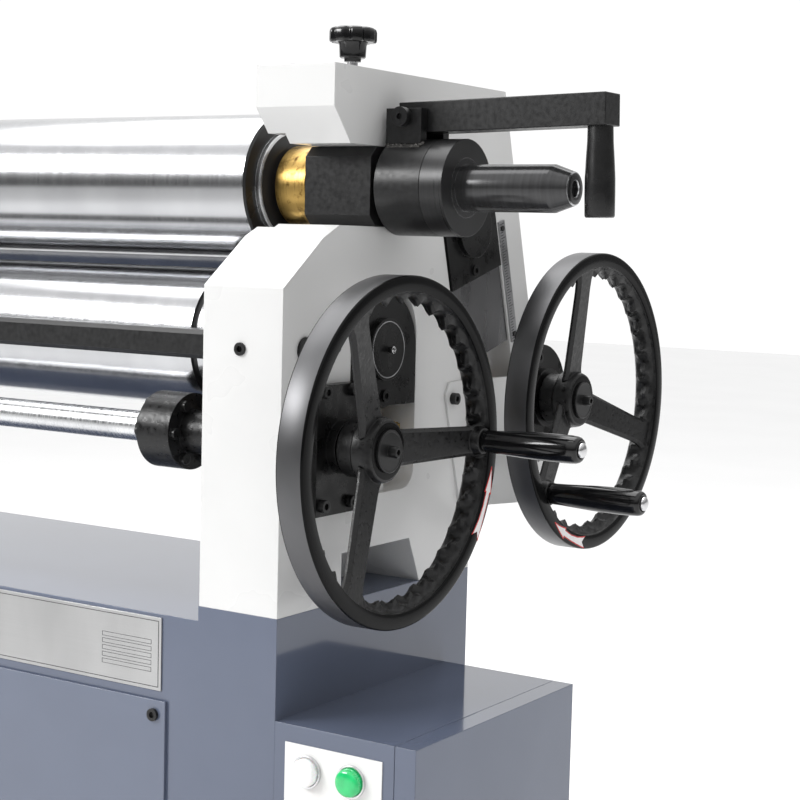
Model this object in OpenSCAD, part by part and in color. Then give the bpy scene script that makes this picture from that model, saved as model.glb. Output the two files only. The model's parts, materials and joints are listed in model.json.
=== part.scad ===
// Powered slip roll: three rolls between two cast side frames on a sheet-steel base.
// X runs along the rolls, the operator stands at -Y and Z is up.
// The origin is on the floor, midway between the side frames and under the middle of their feet.

/* [Rolls] */
// Diameter of each of the three rolls
roll_d = 144; // [136:1:144]
// Free gap between one roll end and its side frame
roll_end_gap = 34; // [32:1:60]
// Diameter of the roll journals in their bushes
journal_d = 56; // [44:1:56]
// Gap between the top roll and the front roll
pinch_gap = 11; // [11:0.5:14]
// Gap between the top roll and the rear roll
bend_gap = 5.2; // [5:0.2:20]
// Angle below the horizontal at which the rear roll lies from the top roll
rear_roll_angle = 13.6; // [13:0.1:15]
// Diameter of the top roll's bare shaft end
shaft_end_d = 44; // [30:1:44]
// Length of the bare shaft end beyond its collar
shaft_end_len = 114; // [60:1:160]
// Width of the widest wiring groove in a lower roll
groove_w = 8; // [4:0.5:10]

/* [Side frames] */
// Free width between the two side frames
frame_gap = 1368; // [900:1:1700]
// Thickness of a side frame
frame_t = 90; // [86:1:110]
// Depth of a side frame's foot
frame_d = 330; // [300:1:335]
// Height of a side frame
frame_h = 500; // [480:1:540]
// Height of the front column below its chamfer
column_h = 296; // [285:1:300]
// Height of the top roll axis above the foot
top_axis_z = 391; // [385:1:392]
// Distance of the top roll axis from the column front
top_axis_y = 170; // [160:1:175]
// Distance of the front roll axis from the column front
front_axis_y = 162; // [158:1:164]
// Lean of the rear slide from the vertical
slide_tilt = 16; // [14:0.5:18]
// Length of the rear slide from the roll axis to the underside of the arm
arm_len = 304; // [296:1:306]

/* [Bearing blocks] */
// Height of the top bearing block in the frame's mouth
top_block_h = 75; // [72:1:76]
// Depth of the top bearing block
top_block_d = 80; // [76:1:84]
// Outer diameter of the collar with the lugs
collar_d = 91.4; // [86:0.2:92]
// Outer diameter of the bronze bush flange
bush_flange_d = 80; // [76:1:82]
// Half width of a front bearing block
front_block_hw = 56; // [55:0.5:60]
// Distance from the front roll axis to the underside of its block
front_block_drop = 55; // [50:1:56]
// Half width of a rear bearing block
rear_block_hw = 52; // [48:0.5:53]
// Distance from the rear roll axis to the lower end of its block
rear_block_drop = 138; // [90:1:139]
// Greatest angle by which the top roll swings out
swing_max = 12; // [5:1:12]

/* [Lift gear] */
// Distance between a cross shaft and the lift screw beside it
gear_centre = 84.7; // [84.5:0.1:86]
// Height of the front lift gear above the foot
front_gear_z = 150; // [149:0.5:152]
// Distance of the rear lift gear below the rear roll axis, along the slide
rear_gear_down = 214.4; // [213:0.2:216]
// Diameter of the cross shafts
cross_shaft_d = 30; // [24:1:32]
// Outer diameter of a nut gear
nut_gear_d = 109; // [106:0.5:109]
// Thickness of a nut gear
nut_gear_t = 24; // [16:1:24]
// Outer diameter of a driving pinion
pinion_d = 59.4; // [57:0.2:59.4]
// Number of teeth on a nut gear
nut_teeth = 36; // [24:1:48]
// Number of teeth on a driving pinion
pinion_teeth = 12; // [8:1:16]
// Diameter of the lift screws
lift_screw_d = 24; // [20:1:26]
// Diameter of the shaft coupling flange
coupling_d = 75; // [60:1:75]

/* [Handwheels] */
// Outside diameter of a handwheel
wheel_d = 320; // [280:1:340]
// Width of a handwheel rim
wheel_w = 28; // [20:1:34]
// Distance of the rim from the side frame
wheel_x = 57; // [54:1:70]
// Number of grip waves inside the rim
grip_waves = 32; // [20:1:36]
// Length of a handwheel handle
handle_len = 104; // [80:1:130]
// Largest diameter of a handwheel handle
handle_d = 27; // [24:0.5:32]
// Angle of the front wheel's handle from the horizontal
front_handle_angle = 0; // [0:5:40]
// Angle of the rear wheel's handle from the horizontal
rear_handle_angle = 221; // [200:1:240]

/* [Lever and clamp] */
// Side of the lever's square bar
lever_bar = 29; // [24:0.5:29]
// Length of the lever bar
lever_len = 217; // [160:1:240]
// Upward tilt of the lever at rest
lever_tilt = 1.5; // [0:0.5:4]
// Length of the lever grip
lever_grip_len = 81; // [60:1:95]
// Diameter of the clamp screw
clamp_screw_d = 10.5; // [8:0.5:12]
// Diameter of the clamp knob
clamp_knob_d = 46; // [36:1:54]
// Lift of the clamp screw when it is released
clamp_lift = 6; // [2:1:8]

/* [Base] */
// Height of the pedestals above the floor
base_h = 600; // [520:5:700]
// Drop from the pedestals to the bed between them
bed_drop = 14; // [8:1:30]
// Wall of the welded base
base_wall = 8; // [5:1:12]
// Height of the foot beams
beam_h = 60; // [40:2:90]
// Width of a foot beam
beam_w = 120; // [90:2:200]
// Length of a foot beam, front to back
beam_len = 480; // [420:5:620]
// Radius of the anchor holes
anchor_r = 9; // [6:0.5:12]
// Length of the drive end to the left of the left frame
drive_len = 300; // [260:5:420]

/* [Control box] */
// Width of the box body that stands on the base's right end
box_w = 129; // [110:1:180]
// Depth of the box
box_d = 287; // [220:1:310]
// Height of the box
box_h = 400; // [340:5:440]
// Distance of the box top below the pedestal top
box_top = 93; // [60:1:130]
// Depth of the box door
door_t = 22; // [14:1:30]
// Diameter of the lamp bezels
bezel_d = 29.5; // [24:0.5:34]
// Diameter of the stop button
stop_d = 40; // [30:1:44]
// Travel of the stop button
stop_travel = 5; // [3:0.5:6]

/* [Hidden] */
// Radial running clearance of every shaft in its bore
run_gap = 0.05;
// Gap between faces that slide past each other
face_gap = 0.3;
// Overrun of a cut past the face that it leaves
over = 1;
// Segment count of round solids
$fn = 96;

// Half of the length over the two side frames
end_x = frame_gap / 2 + frame_t;
mid_x = -frame_t / 2;

// Roll axes, measured from the column front and from the foot
front_axis_z = top_axis_z - roll_d - pinch_gap;
rear_axis_y = top_axis_y + (roll_d + bend_gap) * cos(rear_roll_angle);
rear_axis_z = top_axis_z - (roll_d + bend_gap) * sin(rear_roll_angle);

// Cross shaft axes
front_shaft_y = front_axis_y - gear_centre;
rear_shaft = on_slide(rear_gear_down, gear_centre);

// Travel of the lower rolls from rest
front_up = 10.5;
front_down = 14;
rear_up = 9.5;
rear_down = 60;

// Frame outline
chin_y = 58;
chin_z = 341;
mouth_front_y = 83;
mouth_gap = face_gap;
mouth_z0 = top_axis_z - top_block_h / 2 - mouth_gap;
mouth_z1 = top_axis_z + top_block_h / 2 + mouth_gap;
mouth_back_y = top_axis_y + top_block_d / 2 + mouth_gap;
nose_under_y = 98;
nose_y = 71;
nose_z = 461;
rear_strip_w = 49;
arm_under_z = 64;
notch_deep = 20;
notch_rise = 47;
notch_drop = 41;

// Front slot and rear slot
front_slot_hw = front_block_hw + face_gap;
front_slot_floor = 97;
slot_corner_r = 20;
rear_slot_hw = rear_block_hw + face_gap;
rear_slot_down = 256;
gear_room_side = 1.8;
gear_room_hw = nut_gear_d / 2 + gear_room_side;
gear_room_gap = 4;
seat_r = 40;
screw_hole_gap = 2;
screw_hole_r = lift_screw_d / 2 + screw_hole_gap;
front_screw_hole_depth = 20;
screw_end_spare = 20;
pinion_room = 2.3;
pinion_pocket_r = pinion_d / 2 + pinion_room;

// Foot window
window_y0 = 98;
window_y1 = 214;
window_foot_y1 = 235;
window_h = 46;
window_deep = 70;

// Tie bar between the columns
tie_y = 34;
tie_z = 239.7;
tie_side = 27;
tie_bevel = 4;
tie_spigot_r = 12;
tie_spigot_proud = 3;
tie_screw_x = -47;
tie_head_h = 2;

// Screws
small_head_r = 6;
small_head_h = 6;
small_socket_r = 3;
screw_shank_r = 4;
screw_len = 16;
bolt_r = 8;
bolt_head_r = 13;
bolt_head_h = 10;
bolt_len = 70;
bolt_y_places = [50, 280];

// Bushes
bush_r = 36;
bush_proud = 8;
bush_blind = 10;
journal_r = journal_d / 2;
journal_end_gap = 2;

// Front bearing blocks and cap
block_face_t = 8;
cap_r = 30;
cap_t = 5;
nipple_r = 3;
nipple_len = 7;
block_screw_proud = 2;
front_screw_dy = 3;
front_screw_dz = -45;

// Rear bearing blocks and their black covers
rear_inset = 2;
cover_t = 4;
cover_hw = 50;
cover_drop = 54;
rear_cap_r = 31;
rear_cap_t = 6;
rear_screw_across = -3.5;
rear_screw_down = 44.8;

// Wiring grooves: places along the barrel and widths, as shares of the widest groove
groove_gap = 10;
groove_width_shares = [1, 0.75, 0.5];
groove_first = 54;

// Top bearing
block_bevel = 10;
top_block_len = 75;
bush_len = 37;
bush_bore_r = 31.5;
neck_r = 34;
neck_len = 8.5;
collar_len = 49.5;
ring_len = 24.7;
lug_w = 39;
lug_x = 7;
lug_t = 10;
lug_top = 73;
pivot_up = 65;
pivot_r = 6;
pivot_head_r = 9;
pivot_head_h = 8;
swivel_r = top_block_d / 2;
trunnion_r = 10;
trunnion_in = 7;
trunnion_floor = 40;
left_ring_gap = 12;
left_ring_len = 12;
left_ring_r = 38;
shaft_chamfer = 19.5;
shaft_tip_r = 15;
centre_hole_r = 5;
centre_hole_deep = 8;

// Lever
lever_start = 12;
lever_grip_top_r = 11;
lever_grip_r = 13.8;
lever_grip_wide = 48;
lever_grip_inset = 12;

// Clamp screw
clamp_forward = 8;
clamp_y = top_axis_y - clamp_forward;
clamp_pad_r = 8;
clamp_pad_t = 5;
clamp_room_r = 9;
clamp_room_above = 2;
clamp_room_h = clamp_pad_t + clamp_lift + clamp_room_above;
clamp_hub_r = 15;
clamp_hub_h = 15;
clamp_hub_gap = 14;
clamp_cap_h = 14;
clamp_lobe_r = 6;
clamp_lobes = 8;

// Gear trains
pinion_len = 60;
tooth_depth = 5.2;
tooth_root_share = 0.28;
tooth_tip_share = 0.18;
nut_rest_gap = face_gap;

// Shaft bearings
flange_t = 12;
flange_y_half = 39;
flange_up = 58;
flange_down = 62;
flange_boss_r = 25;
flange_boss_top = 22;
flange_screw_across = [-30, 14];
flange_screw_up = 52;
inner_flange_t = 6;
inner_flange_r = 40;
spigot_len = 12;
spigot_gap = 0.1;
spigot_r = pinion_pocket_r - spigot_gap;
rear_flange_r = 58;
rear_flange_flat = 33;
rear_flange_out = 130;
rear_flange_in = 53;
rear_flange_down = 283;
rear_flange_chamfer = 14;
rear_low_screws_down = rear_gear_down + rear_flange_r;
rear_low_screw_in = 18;
rear_lug_out = 30;
rear_lug_r = 9;
rear_lug_len = 18;
flange_screw_edge = 12;
rear_boss_r = 32;
rear_shell_r = 42;
rear_shell_gap = 0.3;

// Couplings on the cross shafts
hub_r = 21.5;
hub_len = 16;
coupling_len = 40;
coupling_bolts = 6;
coupling_bolt_r = 5.5;
coupling_bolt_h = 5;
coupling_x = -165;

// Handwheels
rim_face_w = 15;
rim_grip_w = 11;
rim_grip_step = 7;
rim_round = 5;
grip_wave_r = 7;
hub_neck_x = 24;
hub_back_x = 42;
hub_front_x = 63.5;
hub_neck_r = 27;
hub_back_r = 32;
hub_front_r = 29;
spoke_root_x = 56;
spoke_tip_x = 80;
spoke_t = 6;
spoke_root_hw = 17;
spoke_tip_hw = 14;
spoke_root_r = 25;
spokes = 3;
washer_r = 20;
washer_t = 3;
wheel_bolt_r = 5.5;
wheel_bolt_h = 8.5;
handle_ring_r = 136;
stud_r = 6;
stud_cap_r = 7.5;
stud_cap_t = 4;
handle_root_r = 11.5;
boss_r = 14;
boss_x = 64;

// Gear hoods over the rear nut gears
hood_t = 2.5;
hood_rise = 25;
hood_flange_in = -88;
hood_bend_in = -54;
hood_screw_in = -76;
hood_screw_end = 14;
hood_ridge = 5;
hood_top_z = 195;
hood_top_rear_z = 206;
hood_corner = 10;
hood_flange_gap = 1.5;

// Graduated scales beside the rear slides
scale_in = 55;
scale_out = 67;
scale_top = 9;
scale_bottom = 142;
scale_t = 2;
scale_screw_end = 8;
scale_head_h = 1;

// Base
top_plate_t = 16;
pedestal_w = 91;
panel_t = 3;
panel_side = 127;
panel_top = 96;
panel_bottom = 500;
panel_lap = 20;
panel_screw_in = 14;
plate_side = 134;
plate_w = 260;
plate_top = 17.5;
plate_bottom = 87;
plate_t = 1.5;
anchor_in = 30;

// Drive end
guard_t = 3;
guard_back = 260;
guard_top = 460;
gearbox_gap = 30;
gearbox_len = 140;
gearbox_hw = 68;
gearbox_hh = 88;
gearbox_round = 30;
motor_r = 80;
motor_len = 300;
motor_cap_len = 60;
motor_neck_r = 60;
motor_room = 12;
torque_reach = 93;
torque_t = 12;
torque_hw = 30;
torque_pin_r = 7;
torque_boss_r = 10.5;
torque_slot_spare = 4;
torque_slot_h = front_up + front_down + torque_slot_spare;
torque_pin_len = 46;

// Control box
box_wall = 3;
label_side = 12.5;
label_top = 16;
label_w = 104.7;
label_h = 260;
label_t = 1;
lamp_down = 39;
lamp_x = 38;
lamp_pitch = 47.5;
bezel_t = 3;
lens_r = 13.2;
lens_len = 11;
stop_down = 110;
stop_stem_r = 11;
stop_stem_len = 14;
stop_cap_t = 12;
stop_collar_r = 17;
stop_collar_t = 5;
hinge_pin_r = 3;
knuckle_r = 5;
knuckle_h = 24;
hinge_inset = 60;
hinge_x = box_w + face_gap;
hinge_y = box_d + knuckle_r;
leaf_w = 16;
leaf_t = 2;
gland_r = 12;
gland_len = 24;
gland_bore_r = 5;

// A point on the rear slide: distance down the slide and distance across it, from the roll axis
function on_slide(down, across) = [
  rear_axis_y + down * sin(slide_tilt) + across * cos(slide_tilt),
  rear_axis_z - down * cos(slide_tilt) + across * sin(slide_tilt)
];

// Distance down the slide at which a line at a given offset across it reaches a height
function slide_down_at(z, across) = (rear_axis_z + across * sin(slide_tilt) - z) / cos(slide_tilt);

// Places a child at the right end: X from the frame's outer face, Y from the column, Z from the foot
module right_end() {
  translate([end_x, -frame_d / 2, base_h]) children();
}

module left_end() {
  mirror([1, 0, 0]) right_end() children();
}

module both_ends() {
  right_end() children();
  left_end() children();
}

// Extrudes a drawing of the Y-Z plane from x0 to x1
module slab(x0, x1) {
  translate([x0, 0, 0]) rotate([90, 0, 90]) linear_extrude(height = x1 - x0) children();
}

// A round bar along X
module rod(x0, x1, r, y = 0, z = 0) {
  translate([x0, y, z]) rotate([0, 90, 0]) cylinder(h = x1 - x0, r = r);
}

// A round bar along Y
module pin_y(y0, y1, r, x, z) {
  translate([x, y0, z]) rotate([-90, 0, 0]) cylinder(h = y1 - y0, r = r);
}

// A box given by two opposite corners
module block(a, b) {
  translate(a) cube(b - a);
}

// Turns a child to the rear slide: its origin is the rear roll axis and -Z runs down the slide
module on_rear_slide() {
  translate([0, rear_axis_y, rear_axis_z]) rotate([slide_tilt, 0, 0]) children();
}

module on_rear_slide_2d() {
  translate([rear_axis_y, rear_axis_z]) rotate(slide_tilt) children();
}

// An arch drawn in the Y-Z plane: a round head and straight sides down to a level
module arch_2d(hw, down, head = 0) {
  translate([0, head]) circle(r = hw);
  translate([-hw, -down]) square([2 * hw, down + head]);
}

// A screw with a socket, its head outside and its shank inwards, along X
module socket_screw(head_r, head_h, shank_r, len) {
  difference() {
    union() {
      rod(0, head_h, head_r);
      rod(-len, 0, shank_r);
    }
    rod(head_h / 2, head_h + over, small_socket_r);
  }
}

// Tooth outline with a given count, tip radius and tooth depth
module gear_2d(teeth, tip_r, depth) {
  step = 360 / teeth;
  polygon([
    for (i = [0:teeth - 1])
      for (p = [[-tooth_root_share, 0], [-tooth_tip_share, 1], [tooth_tip_share, 1], [tooth_root_share, 0]])
        let (r = tip_r - depth * (1 - p[1]), a = (i + p[0]) * step) [r * cos(a), r * sin(a)]
  ]);
}

// Side frames

module frame_outline() {
  rear_edge = gear_centre - pinion_pocket_r + rear_strip_w;
  polygon([
    [0, 0], [0, column_h], [chin_y, chin_z], [mouth_front_y, mouth_z0],
    [mouth_back_y, mouth_z0], [mouth_back_y, mouth_z1], [nose_under_y, mouth_z1],
    [nose_y, nose_z], [nose_y, frame_h],
    on_slide(slide_down_at(frame_h, rear_edge), rear_edge),
    on_slide(arm_len, rear_edge),
    on_slide(slide_down_at(arm_under_z, 0), 0),
    [frame_d, arm_under_z], [frame_d, 0]
  ]);
}

module front_slot_2d() {
  head = front_axis_z + front_up + face_gap - front_slot_floor;
  translate([front_axis_y, front_slot_floor]) {
    translate([0, head]) circle(r = front_slot_hw);
    translate([-front_slot_hw, slot_corner_r]) square([2 * front_slot_hw, head - slot_corner_r]);
    translate([-front_slot_hw + slot_corner_r, 0])
      square([2 * (front_slot_hw - slot_corner_r), slot_corner_r + over]);
    for (s = [-1, 1])
      translate([s * (front_slot_hw - slot_corner_r), slot_corner_r]) circle(r = slot_corner_r);
  }
}

module rear_slot_2d() {
  room_top = rear_gear_down - nut_gear_t / 2 - gear_room_gap;
  on_rear_slide_2d() {
    arch_2d(rear_slot_hw, rear_slot_down, rear_up + face_gap);
    translate([-gear_room_hw, -rear_slot_down])
      square([2 * gear_room_hw, rear_slot_down - room_top]);
  }
}

// Raised seats that carry the nut gears, each with the hole that its screw runs down
module front_gear_seat() {
  top = front_gear_z - nut_gear_t / 2 - nut_rest_gap;
  translate([mid_x, front_axis_y, front_slot_floor - over])
    cylinder(h = top - front_slot_floor + over, r = seat_r);
}

module rear_gear_seat() {
  top = rear_gear_down + nut_gear_t / 2 + nut_rest_gap;
  on_rear_slide() translate([mid_x, 0, -rear_slot_down - over])
    cylinder(h = rear_slot_down - top + over, r = seat_r);
}

module side_frame() {
  difference() {
    union() {
      difference() {
        slab(-frame_t, 0) frame_outline();
        slab(-frame_t - over, over) front_slot_2d();
        slab(-frame_t - over, over) rear_slot_2d();
      }
      front_gear_seat();
      rear_gear_seat();
    }
    rod(-frame_t - over, over, pinion_pocket_r, front_shaft_y, front_gear_z);
    rod(-frame_t - over, over, pinion_pocket_r, rear_shaft[0], rear_shaft[1]);
    translate([mid_x, front_axis_y, front_slot_floor - front_screw_hole_depth])
      cylinder(h = front_gear_z, r = screw_hole_r);
    on_rear_slide() translate([mid_x, 0, -arm_len - over])
      cylinder(h = arm_len - rear_gear_down, r = screw_hole_r);
    rod(-frame_t - over, over, tie_spigot_r + run_gap, tie_y, tie_z);
    pin_y(-over, tie_y, screw_shank_r + run_gap, tie_screw_x, tie_z);
    slab(-window_deep, over) polygon([
      [window_y0, -over], [window_y0, window_h], [window_y1, window_h], [window_foot_y1, -over]
    ]);
    for (y = bolt_y_places)
      translate([mid_x, y, -over]) cylinder(h = bolt_len - base_top_t() + 2 * over, r = bolt_r + run_gap);
    frame_screw_holes();
  }
}

// Thickness of the pedestal and the plate below it
function base_top_t() = bed_drop + top_plate_t;

module right_frame() {
  color("white") right_end() difference() {
    side_frame();
    block([-frame_t - over, chin_y, top_axis_z - notch_drop],
          [-frame_t + notch_deep, mouth_back_y, top_axis_z + notch_rise]);
    translate([mid_x, clamp_y, mouth_z1 - over])
      cylinder(h = frame_h - mouth_z1 + 2 * over, r = clamp_screw_d / 2 + run_gap);
    translate([mid_x, clamp_y, mouth_z1 - over]) cylinder(h = clamp_room_h + over, r = clamp_room_r);
  }
}

module left_frame() {
  color("white") left_end() difference() {
    side_frame();
    translate([mid_x, top_axis_y, mouth_z1 - over])
      cylinder(h = frame_h - mouth_z1 + 2 * over, r = trunnion_r + run_gap);
    translate([mid_x, top_axis_y, mouth_z0 - trunnion_floor])
      cylinder(h = trunnion_floor + over, r = trunnion_r + run_gap);
  }
}

module trunnion_pins() {
  color("silver") left_end() translate([mid_x, top_axis_y, 0]) {
    translate([0, 0, top_axis_z + top_block_h / 2 - trunnion_in])
      cylinder(h = frame_h - top_axis_z - top_block_h / 2 + trunnion_in, r = trunnion_r);
    translate([0, 0, mouth_z0 - trunnion_floor])
      cylinder(h = trunnion_floor + mouth_gap + trunnion_in, r = trunnion_r);
  }
}

module front_tie_bar() {
  h = tie_side / 2;
  b = tie_side / 2 - tie_bevel;
  span = 2 * (end_x - frame_t);
  color("dimgray") right_end() {
    slab(-frame_t - span, -frame_t) translate([tie_y, tie_z])
      polygon([[h, -b], [h, b], [b, h], [-b, h], [-h, b], [-h, -b], [-b, -h], [b, -h]]);
    rod(-frame_t - over, tie_spigot_proud, tie_spigot_r, tie_y, tie_z);
    rod(-2 * end_x - tie_spigot_proud, -2 * end_x + frame_t + over, tie_spigot_r, tie_y, tie_z);
  }
}

// Fasteners of the frames and of the base

module frame_bolt() {
  translate([0, 0, -base_top_t()]) {
    cylinder(h = bolt_len, r = bolt_r);
    translate([0, 0, -bolt_head_h]) cylinder(h = bolt_head_h, r = bolt_head_r, $fn = 6);
  }
}

module frame_bolts() {
  color("gray") both_ends() for (y = bolt_y_places) translate([mid_x, y, 0]) frame_bolt();
}

// Places of the socket screws on a frame's outer face: [x of the seat, y, z]
function hood_screw_places() = [
  for (z = [hood_top_z - hood_screw_end, arm_under_z + hood_screw_end])
    [hood_t, on_slide(slide_down_at(z, hood_screw_in), hood_screw_in)]
];
function flange_screw_places() = [
  for (across = flange_screw_across, t = [-1, 1])
    [flange_t, [front_shaft_y + across, front_gear_z + t * flange_screw_up]]
];
function rear_lug_at() = on_slide(rear_low_screws_down, gear_centre + rear_lug_out);
function rear_flange_screw_places() = [
  [flange_t, rear_lug_at()],
  [flange_t, on_slide(rear_low_screws_down, gear_centre - rear_low_screw_in)],
  [flange_t, on_slide(rear_gear_down - rear_flange_r + flange_screw_edge, gear_centre)]
];
function scale_screw_places() = [
  [scale_t, on_slide(scale_top + scale_screw_end, (scale_in + scale_out) / 2)],
  [scale_t, on_slide(scale_bottom - scale_screw_end, (scale_in + scale_out) / 2)]
];
function frame_screw_places() = concat(
  hood_screw_places(), flange_screw_places(), rear_flange_screw_places()
);

module frame_screw_holes() {
  for (p = frame_screw_places())
    rod(-screw_len - over, over, screw_shank_r + run_gap, p[1][0], p[1][1]);
  for (p = scale_screw_places())
    rod(-screw_len - over, over, small_socket_r + run_gap, p[1][0], p[1][1]);
}

module frame_screws() {
  inner_y = tie_y - tie_spigot_r;
  color("dimgray") {
    both_ends() {
      for (p = frame_screw_places())
        translate([p[0], p[1][0], p[1][1]])
          socket_screw(small_head_r, small_head_h, screw_shank_r, screw_len + p[0] - over);
      for (p = scale_screw_places())
        translate([p[0], p[1][0], p[1][1]])
          rod(-screw_len, scale_head_h, small_socket_r);
      difference() {
        union() {
          pin_y(-tie_head_h, 0, small_head_r, tie_screw_x, tie_z);
          pin_y(0, inner_y, screw_shank_r, tie_screw_x, tie_z);
        }
        pin_y(-tie_head_h - over, tie_head_h, small_socket_r, tie_screw_x, tie_z);
      }
    }
    panel_screws();
  }
}

// Shaft bearings

module front_shaft_bearing() {
  difference() {
    union() {
      slab(0, flange_t) translate([front_shaft_y, front_gear_z])
        translate([-flange_y_half, -flange_down]) square([2 * flange_y_half, flange_up + flange_down]);
      rod(-spigot_len, flange_t, spigot_r, front_shaft_y, front_gear_z);
      rod(0, flange_boss_top, flange_boss_r, front_shaft_y, front_gear_z);
    }
    rod(-spigot_len - over, flange_boss_top + over, cross_shaft_d / 2 + run_gap, front_shaft_y, front_gear_z);
    for (p = flange_screw_places())
      rod(-over, flange_t + over, screw_shank_r + run_gap, p[1][0], p[1][1]);
  }
  difference() {
    union() {
      rod(-frame_t - inner_flange_t, -frame_t, inner_flange_r, front_shaft_y, front_gear_z);
      rod(-frame_t, -frame_t + spigot_len, spigot_r, front_shaft_y, front_gear_z);
    }
    rod(-frame_t - inner_flange_t - over, -frame_t + spigot_len + over,
        cross_shaft_d / 2 + run_gap, front_shaft_y, front_gear_z);
    block([-frame_t - inner_flange_t - over, front_axis_y - nut_gear_d / 2 - gear_room_gap, 0],
          [0, front_axis_y, frame_h]);
  }
}

module front_shaft_bearings() {
  color("#2a2a2c") both_ends() front_shaft_bearing();
}

// Outline of the rear bearing flange, with an allowance all round
module rear_flange_2d(grow = 0) {
  c = rear_flange_chamfer;
  lo = rear_flange_in - grow;
  hi = rear_flange_out + grow;
  bottom = rear_flange_down + grow;
  on_rear_slide_2d() {
    intersection() {
      translate([gear_centre, -rear_gear_down]) circle(r = rear_flange_r + grow);
      translate([rear_flange_flat - grow, -rear_gear_down - 2 * rear_flange_r])
        square(4 * rear_flange_r);
    }
    polygon([
      [lo, -rear_gear_down], [lo, -bottom + c], [lo + c, -bottom],
      [hi - c, -bottom], [hi, -bottom + c], [hi, -rear_gear_down]
    ]);
  }
}

// Part of the shaft's surroundings that lies behind the frame's rear edge
module behind_frame_2d() {
  edge = gear_centre - pinion_pocket_r + rear_strip_w + rear_shell_gap;
  on_rear_slide_2d() translate([edge, -rear_gear_down - 2 * rear_shell_r])
    square([2 * rear_shell_r, 4 * rear_shell_r]);
}

module rear_shaft_housing() {
  difference() {
    union() {
      slab(0, flange_t) rear_flange_2d();
      rod(0, flange_boss_top, rear_boss_r, rear_shaft[0], rear_shaft[1]);
      rod(-spigot_len, flange_t, spigot_r, rear_shaft[0], rear_shaft[1]);
      rod(-frame_t, -frame_t + spigot_len, spigot_r, rear_shaft[0], rear_shaft[1]);
      rod(-rear_lug_len, over, rear_lug_r, rear_lug_at()[0], rear_lug_at()[1]);
      slab(-frame_t, over) intersection() {
        translate(rear_shaft) circle(r = rear_shell_r);
        behind_frame_2d();
      }
    }
    rod(-frame_t + spigot_len, -spigot_len, pinion_pocket_r, rear_shaft[0], rear_shaft[1]);
    rod(-frame_t - over, flange_boss_top + over, cross_shaft_d / 2 + run_gap, rear_shaft[0], rear_shaft[1]);
    for (p = rear_flange_screw_places())
      rod(-screw_len, flange_t + over, screw_shank_r + run_gap, p[1][0], p[1][1]);
  }
}

module rear_shaft_housings() {
  color("#2a2a2c") both_ends() rear_shaft_housing();
}

// Folded sheet hood over the rear nut gear
module gear_hood() {
  rear_edge = gear_centre - pinion_pocket_r + rear_strip_w;
  top_in = slide_down_at(hood_top_z, hood_flange_in);
  low_in = slide_down_at(arm_under_z, hood_flange_in);
  top_out = slide_down_at(hood_top_rear_z, rear_edge);
  reach = 2 * arm_len;
  difference() {
    intersection() {
      on_rear_slide() translate([0, 0, -reach]) linear_extrude(height = 2 * reach) polygon([
        [0, hood_flange_in], [hood_t, hood_flange_in], [hood_t, hood_bend_in],
        [hood_rise + hood_t, hood_ridge], [hood_t, rear_edge], [0, rear_edge],
        [hood_rise, hood_ridge], [0, hood_bend_in]
      ]);
      slab(-over, hood_rise + 2 * hood_t) polygon([
        on_slide(low_in, hood_flange_in),
        on_slide(top_in + hood_corner, hood_flange_in),
        on_slide(top_in, hood_flange_in + hood_corner),
        on_slide(top_out, rear_edge),
        on_slide(arm_len, rear_edge),
        on_slide(slide_down_at(arm_under_z, 0), 0)
      ]);
    }
    slab(-over, hood_rise + 2 * hood_t) rear_flange_2d(hood_flange_gap);
    for (p = hood_screw_places())
      rod(-over, hood_t + over, screw_shank_r + run_gap, p[1][0], p[1][1]);
  }
}

module gear_hoods() {
  color("white") both_ends() gear_hood();
}

module slide_scales() {
  color("silver") both_ends() difference() {
    slab(0, scale_t) on_rear_slide_2d()
      translate([scale_in, -scale_bottom]) square([scale_out - scale_in, scale_bottom - scale_top]);
    for (p = scale_screw_places())
      rod(-over, scale_t + over, small_socket_r + run_gap, p[1][0], p[1][1]);
  }
}

// Front roll carriage

module front_block(blind) {
  difference() {
    slab(-frame_t, -face_gap) translate([front_axis_y, front_axis_z])
      arch_2d(front_block_hw, front_block_drop);
    rod(-frame_t - over, blind ? -block_face_t : over, bush_r, front_axis_y, front_axis_z);
    translate([mid_x, front_axis_y, front_axis_z - front_block_drop - over])
      cylinder(h = front_block_drop - bush_r, r = lift_screw_d / 2);
    rod(-bush_blind, over, small_head_r, front_axis_y + front_screw_dy, front_axis_z + front_screw_dz);
  }
}

module front_block_right() {
  color("#232325") right_end() front_block(true);
}

module front_block_left() {
  color("#232325") left_end() front_block(false);
}

module front_bushes() {
  color("#b8862f") both_ends() difference() {
    rod(-frame_t - bush_proud, -bush_blind, bush_r, front_axis_y, front_axis_z);
    rod(-frame_t - bush_proud - over, 0, journal_r + run_gap, front_axis_y, front_axis_z);
  }
}

// Grease cap of the right front bearing, with the screws that hold the blocks' faces
module front_bearing_cap() {
  color("#2a2a2c") {
    right_end() {
      rod(-face_gap, cap_t, cap_r, front_axis_y, front_axis_z);
      rod(cap_t, cap_t + nipple_len, nipple_r, front_axis_y, front_axis_z);
    }
    both_ends() translate([0, front_axis_y + front_screw_dy, front_axis_z + front_screw_dz]) difference() {
      rod(-bush_blind, block_screw_proud, small_head_r);
      rod(0, block_screw_proud + over, small_socket_r);
    }
  }
}

module front_lift_screws() {
  low = front_gear_z - nut_gear_t / 2 - front_up - screw_end_spare;
  high = front_axis_z - bush_r - over;
  color("silver") both_ends() translate([mid_x, front_axis_y, low])
    cylinder(h = high - low, r = lift_screw_d / 2);
}

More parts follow.
